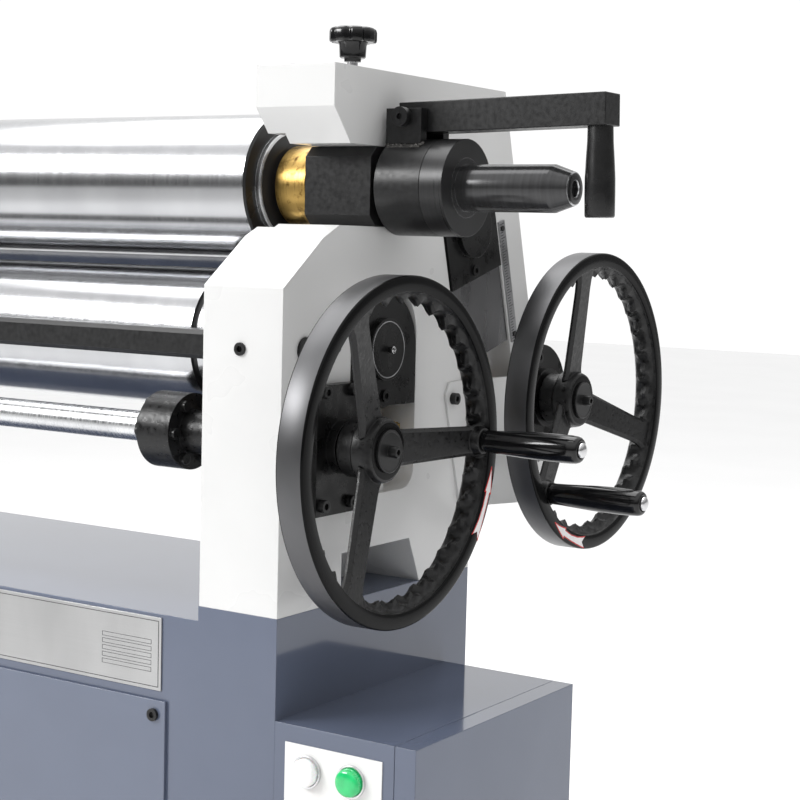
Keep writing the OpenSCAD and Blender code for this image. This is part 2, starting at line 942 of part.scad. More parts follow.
// A lower roll: barrel, journals and wiring grooves near its right end
module lower_roll(right_end_x, left_end_x) {
  barrel_r = roll_d / 2;
  barrel_x = -frame_t - roll_end_gap;
  left_x = -2 * end_x + frame_t + roll_end_gap;
  difference() {
    union() {
      rod(left_x, barrel_x, barrel_r);
      rod(left_end_x, right_end_x, journal_r);
    }
    for (i = [0:len(groove_width_shares) - 1]) {
      w = groove_w * groove_width_shares[i];
      translate([barrel_x - groove_first + i * (groove_w + groove_gap), 0, 0]) rotate([0, 90, 0])
        rotate_extrude() translate([barrel_r, 0]) circle(r = w / 2);
    }
  }
}

module front_roll() {
  left = -2 * end_x - gearbox_gap - gearbox_len + journal_end_gap;
  color("#c9ccd0") right_end() translate([0, front_axis_y, front_axis_z])
    lower_roll(-bush_blind - journal_end_gap, left);
}

// Hollow-shaft gearbox on the front roll's left journal, with its torque arm
module gearbox() {
  x0 = gearbox_gap;
  x1 = gearbox_gap + gearbox_len;
  hw = gearbox_hw;
  hh = gearbox_hh;
  c = gearbox_round;
  color("#4c6f8f") left_end() translate([0, front_axis_y, front_axis_z]) difference() {
    union() {
      slab(x0, x1) polygon([
        [-hw, -hh], [hw, -hh], [hw, hh - c], [hw - c, hh], [-hw + c, hh], [-hw, hh - c]
      ]);
      translate([(x0 + x1) / 2, 0, -hh - motor_room]) cylinder(h = motor_room + over, r = motor_neck_r);
      slab(x0, x0 + torque_t) translate([hw - over, -torque_hw])
        square([torque_reach - hw + over, 2 * torque_hw]);
    }
    rod(x0 - over, x1 + over, journal_r + run_gap);
    slab(x0 - over, x0 + torque_t + over) translate([torque_reach - 2 * torque_pin_r, 0]) {
      translate([-torque_pin_r - face_gap, -torque_slot_h / 2])
        square([2 * (torque_pin_r + face_gap), torque_slot_h]);
      for (s = [-1, 1]) translate([0, s * torque_slot_h / 2]) circle(r = torque_pin_r + face_gap);
    }
  }
}

// Motor below the gearbox
module drive_motor() {
  x = gearbox_gap + gearbox_len / 2;
  top = front_axis_z - gearbox_hh - motor_room;
  color("#4c6f8f") left_end() translate([x, front_axis_y, 0]) {
    translate([0, 0, top - motor_len]) cylinder(h = motor_len, r = motor_r);
    translate([motor_r - over, -motor_cap_len / 2, top - motor_len / 2 - motor_cap_len / 2])
      cube([motor_cap_len / 2, motor_cap_len, motor_cap_len]);
  }
}

// Pin on the left frame that the torque arm's slot rides on
module torque_pin() {
  y = front_axis_y + torque_reach - 2 * torque_pin_r;
  color("silver") left_end() {
    rod(0, torque_pin_len, torque_pin_r, y, front_axis_z - (front_down - front_up) / 2);
    rod(0, gearbox_gap / 2, torque_boss_r, y, front_axis_z - (front_down - front_up) / 2);
  }
}

// Rear roll carriage

module rear_block() {
  difference() {
    slab(-frame_t, -rear_inset) on_rear_slide_2d() arch_2d(rear_block_hw, rear_block_drop);
    rod(-frame_t - over, -block_face_t, bush_r, rear_axis_y, rear_axis_z);
    on_rear_slide() translate([mid_x, 0, -rear_block_drop - over])
      cylinder(h = rear_block_drop - bush_r - over, r = lift_screw_d / 2);
  }
}

module rear_block_right() {
  color("#8b8e92") right_end() rear_block();
}

module rear_block_left() {
  color("#8b8e92") left_end() rear_block();
}

module rear_bushes() {
  color("#b8862f") both_ends() difference() {
    rod(-frame_t - bush_proud, -bush_blind, bush_r, rear_axis_y, rear_axis_z);
    rod(-frame_t - bush_proud - over, 0, journal_r + run_gap, rear_axis_y, rear_axis_z);
  }
}

// Black covers on the rear blocks, with their round bosses and screws
module rear_bearing_covers() {
  at = on_slide(rear_screw_down, rear_screw_across);
  color("#232325") both_ends() difference() {
    union() {
      slab(-rear_inset, -rear_inset + cover_t) on_rear_slide_2d() arch_2d(cover_hw, cover_drop);
      rod(0, cover_t + rear_cap_t - rear_inset, rear_cap_r, rear_axis_y, rear_axis_z);
      rod(0, cover_t, small_head_r, at[0], at[1]);
    }
    rod(rear_inset, cover_t + over, small_socket_r, at[0], at[1]);
  }
}

module rear_lift_screws() {
  high = bush_r + 2 * over;
  low = rear_gear_down + nut_gear_t / 2 + rear_up + over;
  color("silver") both_ends() on_rear_slide() translate([mid_x, 0, -low])
    cylinder(h = low - high, r = lift_screw_d / 2);
}

module rear_roll() {
  end = -bush_blind - journal_end_gap;
  color("#c9ccd0") right_end() translate([0, rear_axis_y, rear_axis_z])
    lower_roll(end, -2 * end_x - end);
}

// Top roll and its swing-out bearing

// Bar milled to a square with bevels where it sits in the frame's mouth
module top_block_2d() {
  d = top_block_d / 2;
  h = top_block_h / 2;
  b = block_bevel;
  polygon([
    [-d, -h + b], [-d + b, -h], [d - b, -h], [d, -h + b],
    [d, h - b], [d - b, h], [-d + b, h], [-d, h - b]
  ]);
}

module top_lug(y0, y1) {
  difference() {
    block([lug_x, y0, collar_d / 2 - block_bevel], [lug_x + lug_w, y1, lug_top]);
    pin_y(y0 - over, y1 + over, pivot_r + run_gap, lug_x + lug_w / 2, pivot_up);
  }
}

module top_bearing_block() {
  inner = lever_bar / 2 + face_gap;
  color("#2b2b2d") right_end() translate([0, top_axis_y, top_axis_z]) difference() {
    union() {
      slab(-top_block_len, over) top_block_2d();
      rod(0, neck_len + over, neck_r);
      rod(neck_len, neck_len + collar_len, collar_d / 2);
      top_lug(-inner - lug_t, -inner);
      top_lug(inner, inner + lug_t);
    }
    rod(-top_block_len - over, neck_len + collar_len + over, bush_bore_r);
  }
}

module top_bush() {
  color("#b8862f") right_end() translate([0, top_axis_y, top_axis_z]) difference() {
    union() {
      rod(-top_block_len - bush_len, -top_block_len, bush_flange_d / 2);
      rod(-top_block_len - over, neck_len + collar_len, bush_bore_r);
    }
    rod(-top_block_len - bush_len - over, neck_len + collar_len + over, journal_r + run_gap);
  }
}

// Round block that turns on the trunnion pins in the left frame's mouth
module swivel_block() {
  color("#2b2b2d") left_end() translate([mid_x, top_axis_y, top_axis_z]) difference() {
    translate([0, 0, -top_block_h / 2]) cylinder(h = top_block_h, r = swivel_r);
    rod(-swivel_r - over, swivel_r + over, journal_r + run_gap);
    for (s = [-1, 1]) translate([0, 0, s * top_block_h / 2 - (s + 1) / 2 * (trunnion_in + over)])
      translate([0, 0, -(1 - s) / 2 * over])
        cylinder(h = trunnion_in + 2 * over, r = trunnion_r + run_gap);
  }
}

module lever_pin() {
  y0 = -lever_bar / 2 - face_gap - lug_t;
  color("gray") right_end() translate([0, top_axis_y, top_axis_z]) difference() {
    union() {
      pin_y(y0, -y0, pivot_r, lug_x + lug_w / 2, pivot_up);
      pin_y(y0 - pivot_head_h, y0, pivot_head_r, lug_x + lug_w / 2, pivot_up);
    }
    pin_y(y0 - pivot_head_h - over, y0 - pivot_head_h / 2, small_socket_r, lug_x + lug_w / 2, pivot_up);
  }
}

module top_roll() {
  barrel_x = -frame_t - roll_end_gap;
  left_x = -2 * end_x + frame_t + roll_end_gap;
  journal_x = neck_len + collar_len + ring_len;
  tip_x = journal_x + shaft_end_len;
  left_tip = -2 * end_x - left_ring_gap - left_ring_len - face_gap;
  color("#c9ccd0") right_end() translate([0, top_axis_y, top_axis_z]) difference() {
    union() {
      rod(left_x, barrel_x, roll_d / 2);
      rod(left_tip, journal_x, journal_r);
      rod(left_x, tip_x - shaft_chamfer, shaft_end_d / 2);
      translate([tip_x - shaft_chamfer, 0, 0]) rotate([0, 90, 0])
        cylinder(h = shaft_chamfer, r1 = shaft_end_d / 2, r2 = shaft_tip_r);
    }
    rod(tip_x - centre_hole_deep, tip_x + over, centre_hole_r);
  }
}

// Rings that hold the top roll endways: one outside each bearing
module shaft_collar() {
  x0 = neck_len + collar_len + face_gap;
  x1 = neck_len + collar_len + ring_len;
  left = -2 * end_x - left_ring_gap;
  color("#2b2b2d") right_end() translate([0, top_axis_y, top_axis_z]) {
    difference() {
      rod(x0, x1, collar_d / 2);
      rod(x0 - over, x1 + over, journal_r);
    }
    difference() {
      rod(left - left_ring_len, left, left_ring_r);
      rod(left - left_ring_len - over, left + over, journal_r);
    }
  }
}

// Lever bar with its grip
module lever() {
  h = lever_bar / 2;
  grip_x = lever_len - lever_start - lever_grip_inset;
  color("#2b2b2d") right_end()
    translate([lug_x + lug_w / 2, top_axis_y, top_axis_z + pivot_up]) rotate([0, -lever_tilt, 0])
      difference() {
        union() {
          block([-lever_start, -h, -h], [lever_len - lever_start, h, h]);
          translate([grip_x, 0, -h - lever_grip_len]) {
            cylinder(h = lever_grip_len - lever_grip_wide + over, r = lever_grip_r);
            translate([0, 0, lever_grip_len - lever_grip_wide])
              cylinder(h = lever_grip_wide + over, r1 = lever_grip_r, r2 = lever_grip_top_r);
          }
        }
        pin_y(-h - over, h + over, pivot_r + run_gap, 0, 0);
      }
}

module clamp_pad() {
  color("silver") right_end() translate([mid_x, clamp_y, mouth_z1])
    cylinder(h = clamp_pad_t, r = clamp_pad_r);
}

// Star knob and its screw
module clamp_knob() {
  stem_z = mouth_z1 + clamp_pad_t + face_gap;
  hub_z = frame_h + clamp_hub_gap;
  color("#2b2b2d") right_end() translate([mid_x, clamp_y, 0]) {
    translate([0, 0, stem_z]) cylinder(h = hub_z - stem_z + over, r = clamp_screw_d / 2);
    translate([0, 0, hub_z]) cylinder(h = clamp_hub_h + over, r = clamp_hub_r);
    translate([0, 0, hub_z + clamp_hub_h]) linear_extrude(height = clamp_cap_h) {
      circle(r = clamp_knob_d / 2 - clamp_lobe_r / 2);
      for (i = [0:clamp_lobes - 1])
        rotate(i * 360 / clamp_lobes) translate([clamp_knob_d / 2 - clamp_lobe_r, 0])
          circle(r = clamp_lobe_r);
    }
  }
}

// Lift gear

// Nut gear with a plain bore for its screw, centred on its own middle
module nut_gear() {
  translate([0, 0, -nut_gear_t / 2]) linear_extrude(height = nut_gear_t) difference() {
    gear_2d(nut_teeth, nut_gear_d / 2, tooth_depth);
    circle(r = lift_screw_d / 2 + run_gap);
  }
}

module front_nut_right() {
  color("#9a7b3a") right_end() translate([mid_x, front_axis_y, front_gear_z]) nut_gear();
}

module front_nut_left() {
  color("#9a7b3a") left_end() translate([mid_x, front_axis_y, front_gear_z]) nut_gear();
}

module rear_nut_right() {
  color("#9a7b3a") right_end() on_rear_slide() translate([mid_x, 0, -rear_gear_down]) nut_gear();
}

module rear_nut_left() {
  color("#9a7b3a") left_end() on_rear_slide() translate([mid_x, 0, -rear_gear_down]) nut_gear();
}

// Cross shaft with a pinion cut on it inside each frame
module cross_shaft() {
  far_x = -2 * end_x - flange_boss_top;
  rod(far_x, hub_front_x - over, cross_shaft_d / 2);
  for (x = [mid_x, -2 * end_x - mid_x])
    slab(x - pinion_len / 2, x + pinion_len / 2) gear_2d(pinion_teeth, pinion_d / 2, tooth_depth);
}

module front_cross_shaft() {
  color("silver") right_end() translate([0, front_shaft_y, front_gear_z]) cross_shaft();
}

module rear_cross_shaft() {
  color("silver") right_end() translate([0, rear_shaft[0], rear_shaft[1]]) cross_shaft();
}

// Flange coupling with its bolts; it rides on the front cross shaft
module front_coupling() {
  x1 = coupling_x;
  x0 = coupling_x - coupling_len;
  bolt_ring = (coupling_d / 2 + hub_r) / 2;
  color("#2a2a2c") right_end() translate([0, front_shaft_y, front_gear_z]) {
    difference() {
      union() {
        rod(x0, x1, coupling_d / 2);
        rod(x0 - hub_len, -frame_t - inner_flange_t - face_gap, hub_r);
        for (i = [0:coupling_bolts - 1]) rotate([i * 360 / coupling_bolts, 0, 0])
          rod(x0 - coupling_bolt_h, x1 + coupling_bolt_h, coupling_bolt_r, bolt_ring, 0);
      }
      rod(x0 - hub_len - over, 0, cross_shaft_d / 2);
    }
  }
}

// Handwheels

// Rim with its front face, its grip band and the waves cut in it
module wheel_rim() {
  r = wheel_d / 2;
  b = rim_round;
  difference() {
    rotate([0, 90, 0]) rotate_extrude() union() {
      polygon([
        [r - rim_face_w, 0], [r - b, 0], [r, b], [r, wheel_w - b], [r - b, wheel_w],
        [r - rim_face_w, wheel_w]
      ]);
      translate([r - rim_face_w - rim_grip_w, 0]) square([rim_grip_w + over, wheel_w - rim_grip_step]);
    }
    for (i = [0:grip_waves - 1]) rotate([i * 360 / grip_waves, 0, 0])
      rod(-over, wheel_w - rim_grip_step, grip_wave_r, r - rim_face_w - rim_grip_w, 0);
  }
}

// Spoke along Y from the hub to the rim, dished towards the operator at the rim
module wheel_spoke(r_out) {
  intersection() {
    slab(spoke_root_x - spoke_t - over, spoke_tip_x + over) polygon([
      [spoke_root_r, -spoke_root_hw], [r_out, -spoke_tip_hw], [r_out, spoke_tip_hw],
      [spoke_root_r, spoke_root_hw]
    ]);
    translate([0, 0, -spoke_root_hw - over]) linear_extrude(height = 2 * (spoke_root_hw + over)) polygon([
      [spoke_root_x - spoke_t, spoke_root_r - over], [spoke_root_x, spoke_root_r - over],
      [spoke_tip_x, r_out + over], [spoke_tip_x - spoke_t, r_out + over]
    ]);
  }
}

// Handwheel with its handle's boss at a given angle
module handwheel(angle) {
  r_out = wheel_d / 2 - rim_face_w + over;
  difference() {
    union() {
      translate([wheel_x, 0, 0]) wheel_rim();
      rod(hub_neck_x, hub_back_x + over, hub_neck_r);
      translate([hub_back_x, 0, 0]) rotate([0, 90, 0])
        cylinder(h = hub_front_x - hub_back_x, r1 = hub_back_r, r2 = hub_front_r);
      for (i = [0:spokes - 1]) rotate([angle + i * 360 / spokes, 0, 0]) wheel_spoke(r_out);
      rotate([angle, 0, 0]) rod(boss_x, wheel_x + wheel_w, boss_r, handle_ring_r, 0);
    }
    rod(hub_neck_x - over, hub_front_x + over, cross_shaft_d / 2);
    rotate([angle, 0, 0])
      rod(boss_x - over, wheel_x + wheel_w + over, stud_r, handle_ring_r, 0);
  }
}

// Centre bolt with its washer, and the stud that the handle turns on
module wheel_bolts(angle) {
  handle_x = wheel_x + wheel_w + face_gap;
  rod(hub_front_x, hub_front_x + washer_t, washer_r);
  rod(hub_front_x + washer_t, hub_front_x + washer_t + wheel_bolt_h, wheel_bolt_r);
  rotate([angle, 0, 0]) {
    rod(boss_x, handle_x + handle_len + face_gap + over, stud_r, handle_ring_r, 0);
    rod(handle_x + handle_len + face_gap, handle_x + handle_len + face_gap + stud_cap_t,
        stud_cap_r, handle_ring_r, 0);
  }
}

// Revolving handle that swells towards its end
module wheel_handle(angle) {
  x0 = wheel_x + wheel_w + face_gap;
  r = handle_d / 2;
  rotate([angle, 0, 0]) translate([x0, handle_ring_r, 0]) rotate([0, 90, 0]) difference() {
    union() {
      cylinder(h = handle_len / 2, r1 = handle_root_r, r2 = r);
      translate([0, 0, handle_len / 2]) cylinder(h = handle_len / 2 - rim_round, r = r);
      translate([0, 0, handle_len - rim_round]) cylinder(h = rim_round, r1 = r, r2 = r - rim_round / 2);
    }
    translate([0, 0, -over]) cylinder(h = handle_len + 2 * over, r = stud_r + run_gap);
  }
}

module at_front_wheel() {
  right_end() translate([0, front_shaft_y, front_gear_z]) children();
}

module at_rear_wheel() {
  right_end() translate([0, rear_shaft[0], rear_shaft[1]]) children();
}

module front_handwheel() {
  color("#1d1d1f") at_front_wheel() handwheel(front_handle_angle);
}

module front_wheel_bolts() {
  color("#6a6a6c") at_front_wheel() wheel_bolts(front_handle_angle);
}

module front_handle() {
  color("#1d1d1f") at_front_wheel() wheel_handle(front_handle_angle);
}

module rear_handwheel() {
  color("#1d1d1f") at_rear_wheel() handwheel(rear_handle_angle);
}

module rear_wheel_bolts() {
  color("#6a6a6c") at_rear_wheel() wheel_bolts(rear_handle_angle);
}

module rear_handle() {
  color("#1d1d1f") at_rear_wheel() wheel_handle(rear_handle_angle);
}

// Base

// Opening behind the front panel
module panel_opening() {
  block([-2 * end_x + panel_side + panel_lap, -over, -panel_bottom + panel_lap],
        [-panel_side - panel_lap, base_wall + over, -panel_top - panel_lap]);
}

module base_cabinet() {
  left_x = -2 * end_x - drive_len;
  bottom = -base_h + beam_h;
  w = base_wall;
  motor_x = -2 * end_x - gearbox_gap - gearbox_len / 2;
  room = motor_r + motor_room;
  color("#6f7887") right_end() difference() {
    union() {
      block([left_x, 0, bottom], [0, frame_d, -bed_drop]);
      block([-pedestal_w, 0, -bed_drop - over], [0, frame_d, 0]);
      block([-2 * end_x, 0, -bed_drop - over], [-2 * end_x + pedestal_w, frame_d, 0]);
    }
    block([left_x + w, w, bottom + w], [-w, frame_d - w, -bed_drop - top_plate_t]);
    block([motor_x - room - motor_cap_len / 2, front_axis_y - room, -bed_drop - top_plate_t - over],
          [motor_x + room - over, front_axis_y + room, over]);
    panel_opening();
    for (x = [mid_x, -2 * end_x - mid_x], y = bolt_y_places)
      translate([x, y, -base_top_t() - over]) cylinder(h = base_top_t() + 2 * over, r = bolt_r + over / 2);
    for (p = panel_screw_places())
      pin_y(-over, base_wall + over, screw_shank_r + run_gap, p[0], p[1]);
  }
}

// Two channels under the ends of the cabinet, webs up, standing on the floor
module foot_beam() {
  y0 = (frame_d - beam_len) / 2;
  w = base_wall;
  difference() {
    block([-beam_w, y0, -base_h], [0, y0 + beam_len, -base_h + beam_h]);
    block([-beam_w + w, y0 - over, -base_h - over], [-w, y0 + beam_len + over, -base_h + beam_h - w]);
    for (y = [y0 + anchor_in, y0 + beam_len - anchor_in])
      translate([-beam_w / 2, y, -base_h]) cylinder(h = beam_h + over, r = anchor_r);
  }
}

module foot_beams() {
  color("#5c6472") {
    right_end() foot_beam();
    translate([-drive_len, 0, 0]) left_end() foot_beam();
  }
}

function panel_screw_places() = [
  for (x = [-panel_side - panel_screw_in, -end_x, -2 * end_x + panel_side + panel_screw_in],
       z = [-panel_top - panel_screw_in, -panel_bottom + panel_screw_in]) [x, z]
];

module front_panel() {
  color("#77808f") right_end() difference() {
    block([-2 * end_x + panel_side, -panel_t, -panel_bottom], [-panel_side, 0, -panel_top]);
    for (p = panel_screw_places())
      pin_y(-panel_t - over, over, screw_shank_r + run_gap, p[0], p[1]);
  }
}

module panel_screws() {
  right_end() for (p = panel_screw_places()) difference() {
    union() {
      pin_y(-panel_t - small_head_h / 2, -panel_t, small_head_r, p[0], p[1]);
      pin_y(-panel_t, base_wall, screw_shank_r, p[0], p[1]);
    }
    pin_y(-panel_t - small_head_h, -panel_t - over / 2, small_socket_r, p[0], p[1]);
  }
}

module nameplate() {
  color("silver") right_end()
    block([-plate_side - plate_w, -plate_t, -plate_bottom], [-plate_side, 0, -plate_top]);
}

// Open-backed sheet cover over the drive
module drive_guard() {
  t = guard_t;
  color("#6f7887") left_end() difference() {
    block([face_gap, 0, -bed_drop], [drive_len, guard_back, guard_top]);
    block([-over, t, -bed_drop - over], [drive_len - t, guard_back - t, guard_top - t]);
  }
}

// Control box

module control_box() {
  w = box_wall;
  z1 = -box_top;
  z0 = -box_top - box_h;
  color("#6f7887") right_end() difference() {
    block([0, 0, z0], [box_w, box_d, z1]);
    block([w, w, z0 + w], [box_w + over, box_d - w, z1 - w]);
    for (i = [0, 1])
      pin_y(-over, w + over, lens_r - face_gap, lamp_x + i * lamp_pitch, z1 - lamp_down);
    pin_y(-over, w + over, stop_stem_r + face_gap, box_w / 2, z1 - stop_down);
    translate([box_w / 2, box_d / 2, z0 - over]) cylinder(h = w + 2 * over, r = gland_r / 2 + run_gap);
  }
}

module control_label() {
  z1 = -box_top - label_top;
  color("white") right_end() difference() {
    block([label_side, -label_t, z1 - label_h], [label_side + label_w, 0, z1]);
    for (i = [0, 1])
      pin_y(-label_t - over, over, lens_r - face_gap, lamp_x + i * lamp_pitch, -box_top - lamp_down);
    pin_y(-label_t - over, over, stop_stem_r + face_gap, box_w / 2, -box_top - stop_down);
  }
}

// Rings round the two lamps and the stop button
module panel_bezels() {
  y1 = -label_t;
  color("silver") right_end() {
    for (i = [0, 1]) difference() {
      pin_y(y1 - bezel_t, y1, bezel_d / 2, lamp_x + i * lamp_pitch, -box_top - lamp_down);
      pin_y(y1 - bezel_t - over, y1 + over, lens_r + run_gap, lamp_x + i * lamp_pitch, -box_top - lamp_down);
    }
    difference() {
      pin_y(y1 - stop_collar_t, y1, stop_collar_r, box_w / 2, -box_top - stop_down);
      pin_y(y1 - stop_collar_t - over, y1 + over, stop_stem_r + run_gap, box_w / 2, -box_top - stop_down);
    }
  }
}

module pilot_lenses() {
  color("#30b060") right_end() for (i = [0, 1])
    pin_y(-label_t - lens_len, -label_t, lens_r, lamp_x + i * lamp_pitch, -box_top - lamp_down);
}

module stop_button() {
  y1 = -label_t - stop_collar_t - stop_travel - face_gap;
  color("#c02020") right_end() {
    pin_y(y1 - over, box_wall + stop_stem_len, stop_stem_r, box_w / 2, -box_top - stop_down);
    pin_y(y1 - stop_cap_t, y1, stop_d / 2, box_w / 2, -box_top - stop_down);
  }
}

function hinge_levels() = [-box_top - hinge_inset, -box_top - box_h + hinge_inset - knuckle_h];

module door_hinge_pins() {
  color("gray") right_end() for (z = hinge_levels()) translate([hinge_x, hinge_y, z]) {
    cylinder(h = knuckle_h / 2 - face_gap, r = knuckle_r);
    cylinder(h = knuckle_h, r = hinge_pin_r);
    block([-leaf_w, -knuckle_r, 0], [0, -knuckle_r + leaf_t, knuckle_h / 2 - face_gap]);
  }
}

module box_door() {
  w = box_wall;
  z1 = -box_top;
  z0 = -box_top - box_h;
  x0 = box_w + 2 * face_gap;
  x1 = box_w + door_t;
  color("#6f7887") right_end() {
    difference() {
      union() {
        difference() {
          block([x0, 0, z0], [x1, box_d, z1]);
          block([x0 - over, w, z0 + w], [x1 - w, box_d - w, z1 - w]);
        }
        for (z = hinge_levels()) translate([hinge_x, hinge_y, z + knuckle_h / 2]) {
          cylinder(h = knuckle_h / 2, r = knuckle_r);
          block([0, -knuckle_r - over, 0], [knuckle_r, 0, knuckle_h / 2]);
        }
      }
      for (z = hinge_levels()) translate([hinge_x, hinge_y, z - over])
        cylinder(h = knuckle_h + 2 * over, r = hinge_pin_r + run_gap);
      for (z = hinge_levels())
        block([hinge_x - 2 * knuckle_r, box_d - over, z - over],
              [hinge_x + 2 * knuckle_r, hinge_y + 2 * knuckle_r, z + knuckle_h / 2]);
    }
  }
}

// Gland for the mains lead, in the floor of the box
module cable_gland() {
  z0 = -box_top - box_h;
  color("#202020") right_end() translate([box_w / 2, box_d / 2, z0]) difference() {
    union() {
      translate([0, 0, -gland_len]) cylinder(h = gland_len, r = gland_r);
      cylinder(h = box_wall + gland_len / 4, r = gland_r / 2);
    }
    translate([0, 0, -gland_len - over]) cylinder(h = 2 * gland_len, r = gland_bore_r);
  }
}

base_cabinet();
foot_beams();
front_panel();
nameplate();
right_frame();
left_frame();
front_tie_bar();
front_shaft_bearings();
rear_shaft_housings();
gear_hoods();
slide_scales();
trunnion_pins();
frame_bolts();
frame_screws();
drive_guard();
torque_pin();
control_box();
control_label();
panel_bezels();
pilot_lenses();
door_hinge_pins();
cable_gland();
stop_button();
box_door();
front_block_right();
front_block_left();
front_bearing_cap();
front_bushes();
front_lift_screws();
gearbox();
drive_motor();
front_roll();
rear_block_right();
rear_block_left();
rear_bearing_covers();
rear_bushes();
rear_lift_screws();
rear_roll();
top_bearing_block();
top_bush();
swivel_block();
lever_pin();
top_roll();
shaft_collar();
lever();
clamp_pad();
clamp_knob();
front_handwheel();
front_wheel_bolts();
front_cross_shaft();
front_coupling();
front_handle();
rear_handwheel();
rear_wheel_bolts();
rear_cross_shaft();
rear_handle();
front_nut_right();
front_nut_left();
rear_nut_right();
rear_nut_left();
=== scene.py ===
"""Looks of the slip roll machine: finishes for its solids, and meshes for its rolls, handwheels and trim."""

import json
import math

import bmesh
import bpy
from mathutils import Matrix, Vector


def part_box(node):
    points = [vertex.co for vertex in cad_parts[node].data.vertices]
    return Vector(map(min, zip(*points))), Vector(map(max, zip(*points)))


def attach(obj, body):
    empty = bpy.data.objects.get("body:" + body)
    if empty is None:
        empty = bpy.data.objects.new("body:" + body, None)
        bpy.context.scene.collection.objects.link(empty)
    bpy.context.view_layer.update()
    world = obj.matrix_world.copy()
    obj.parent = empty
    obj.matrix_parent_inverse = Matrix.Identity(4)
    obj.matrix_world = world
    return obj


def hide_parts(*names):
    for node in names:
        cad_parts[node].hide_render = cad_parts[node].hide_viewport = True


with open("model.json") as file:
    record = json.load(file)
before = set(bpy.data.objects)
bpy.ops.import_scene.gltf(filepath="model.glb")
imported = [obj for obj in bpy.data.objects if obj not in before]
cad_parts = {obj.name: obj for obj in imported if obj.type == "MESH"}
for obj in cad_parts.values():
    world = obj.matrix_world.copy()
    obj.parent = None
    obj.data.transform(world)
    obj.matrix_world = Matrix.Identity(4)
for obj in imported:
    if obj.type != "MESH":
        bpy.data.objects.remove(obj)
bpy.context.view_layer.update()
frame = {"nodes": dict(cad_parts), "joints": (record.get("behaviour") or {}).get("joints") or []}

MM = 0.001
TAU = 2 * math.pi
JOINT = {j["name"]: j for j in frame["joints"]}


def lo(node):
    """Lowest corner of a CAD node."""
    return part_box(node)[0]


def hi(node):
    """Highest corner of a CAD node."""
    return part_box(node)[1]


def pivot(name):
    """A point on a joint's axis."""
    return Vector(JOINT[name]["pos_m"])


# Outer face of the right side frame
FACE_X = hi("right_frame").x
# A point on each roll's axis
FRONT_ROLL = pivot("front_roll_spin")
REAR_ROLL = pivot("rear_roll_spin")
TOP_ROLL = pivot("top_roll_spin")
# Directions along and across the rear slide
SLIDE_UP = Vector(JOINT["rear_lift"]["axis"])
SLIDE_ACROSS = Vector((0, SLIDE_UP.z, -SLIDE_UP.y))


# Shader helpers

def new_material(name):
    """A material with its tree and its main shader."""
    mat = bpy.data.materials.new(name)
    mat.use_nodes = True
    tree = mat.node_tree
    tree.nodes.clear()
    out = tree.nodes.new("ShaderNodeOutputMaterial")
    shader = tree.nodes.new("ShaderNodeBsdfPrincipled")
    tree.links.new(shader.outputs[0], out.inputs[0])
    return mat, tree, shader


def node(tree, kind, **values):
    """A shader node, with its settings and its inputs' values."""
    made = tree.nodes.new(kind)
    for key, value in values.items():
        if hasattr(made, key):
            setattr(made, key, value)
        else:
            made.inputs[key].default_value = value
    return made


def coordinates(tree, scale=(1, 1, 1)):
    """The piece's own coordinates, stretched."""
    coord = node(tree, "ShaderNodeTexCoord")
    mapping = node(tree, "ShaderNodeMapping")
    mapping.inputs["Scale"].default_value = scale
    tree.links.new(coord.outputs["Object"], mapping.inputs["Vector"])
    return mapping.outputs[0]


def noise(tree, scale, stretch=(1, 1, 1), detail=4, rough=0.5):
    """Noise in the piece's own coordinates."""
    made = node(tree, "ShaderNodeTexNoise", Scale=scale, Detail=detail, Roughness=rough)
    tree.links.new(coordinates(tree, stretch), made.inputs["Vector"])
    return made.outputs["Fac"]


def ramp(tree, source, low, high, at=(0.3, 0.7)):
    """A colour that goes from low to high with a value."""
    made = node(tree, "ShaderNodeValToRGB")
    made.color_ramp.elements[0].position = at[0]
    made.color_ramp.elements[1].position = at[1]
    made.color_ramp.elements[0].color = (*low, 1)
    made.color_ramp.elements[1].color = (*high, 1)
    tree.links.new(source, made.inputs[0])
    return made.outputs[0]


def spread(tree, source, low, high, at=(0.3, 0.7)):
    """A value that goes from low to high with another one."""
    made = node(tree, "ShaderNodeMapRange")
    for key, value in zip(("From Min", "From Max", "To Min", "To Max"), (*at, low, high)):
        made.inputs[key].default_value = value
    tree.links.new(source, made.inputs["Value"])
    return made.outputs[0]


def rounded(tree, shader, radius, height=None, depth=0.0002, strength=1.0):
    """Rounds the edges of the shading, with an optional bump on top."""
    bevel = node(tree, "ShaderNodeBevel", samples=6, Radius=radius)
    normal = bevel.outputs[0]
    if height is not None:
        bump = node(tree, "ShaderNodeBump", Strength=strength, Distance=depth)
        tree.links.new(height, bump.inputs["Height"])
        tree.links.new(normal, bump.inputs["Normal"])
        normal = bump.outputs[0]
    tree.links.new(normal, shader.inputs["Normal"])


def enamel(name, low, high, rough=(0.22, 0.34), peel=0.00003, edge=0.0012, coat=0.25, wave=26):
    """Sprayed enamel: slight orange peel, cloudy gloss, softened edges."""
    mat, tree, shader = new_material(name)
    cloud = noise(tree, 6, detail=3)
    tree.links.new(ramp(tree, cloud, low, high), shader.inputs["Base Color"])
    tree.links.new(spread(tree, noise(tree, 9, detail=3), *rough), shader.inputs["Roughness"])
    shader.inputs["Coat Weight"].default_value = coat
    shader.inputs["Coat Roughness"].default_value = 0.035
    rounded(tree, shader, edge, noise(tree, wave, detail=2), peel, 0.5)
    return mat


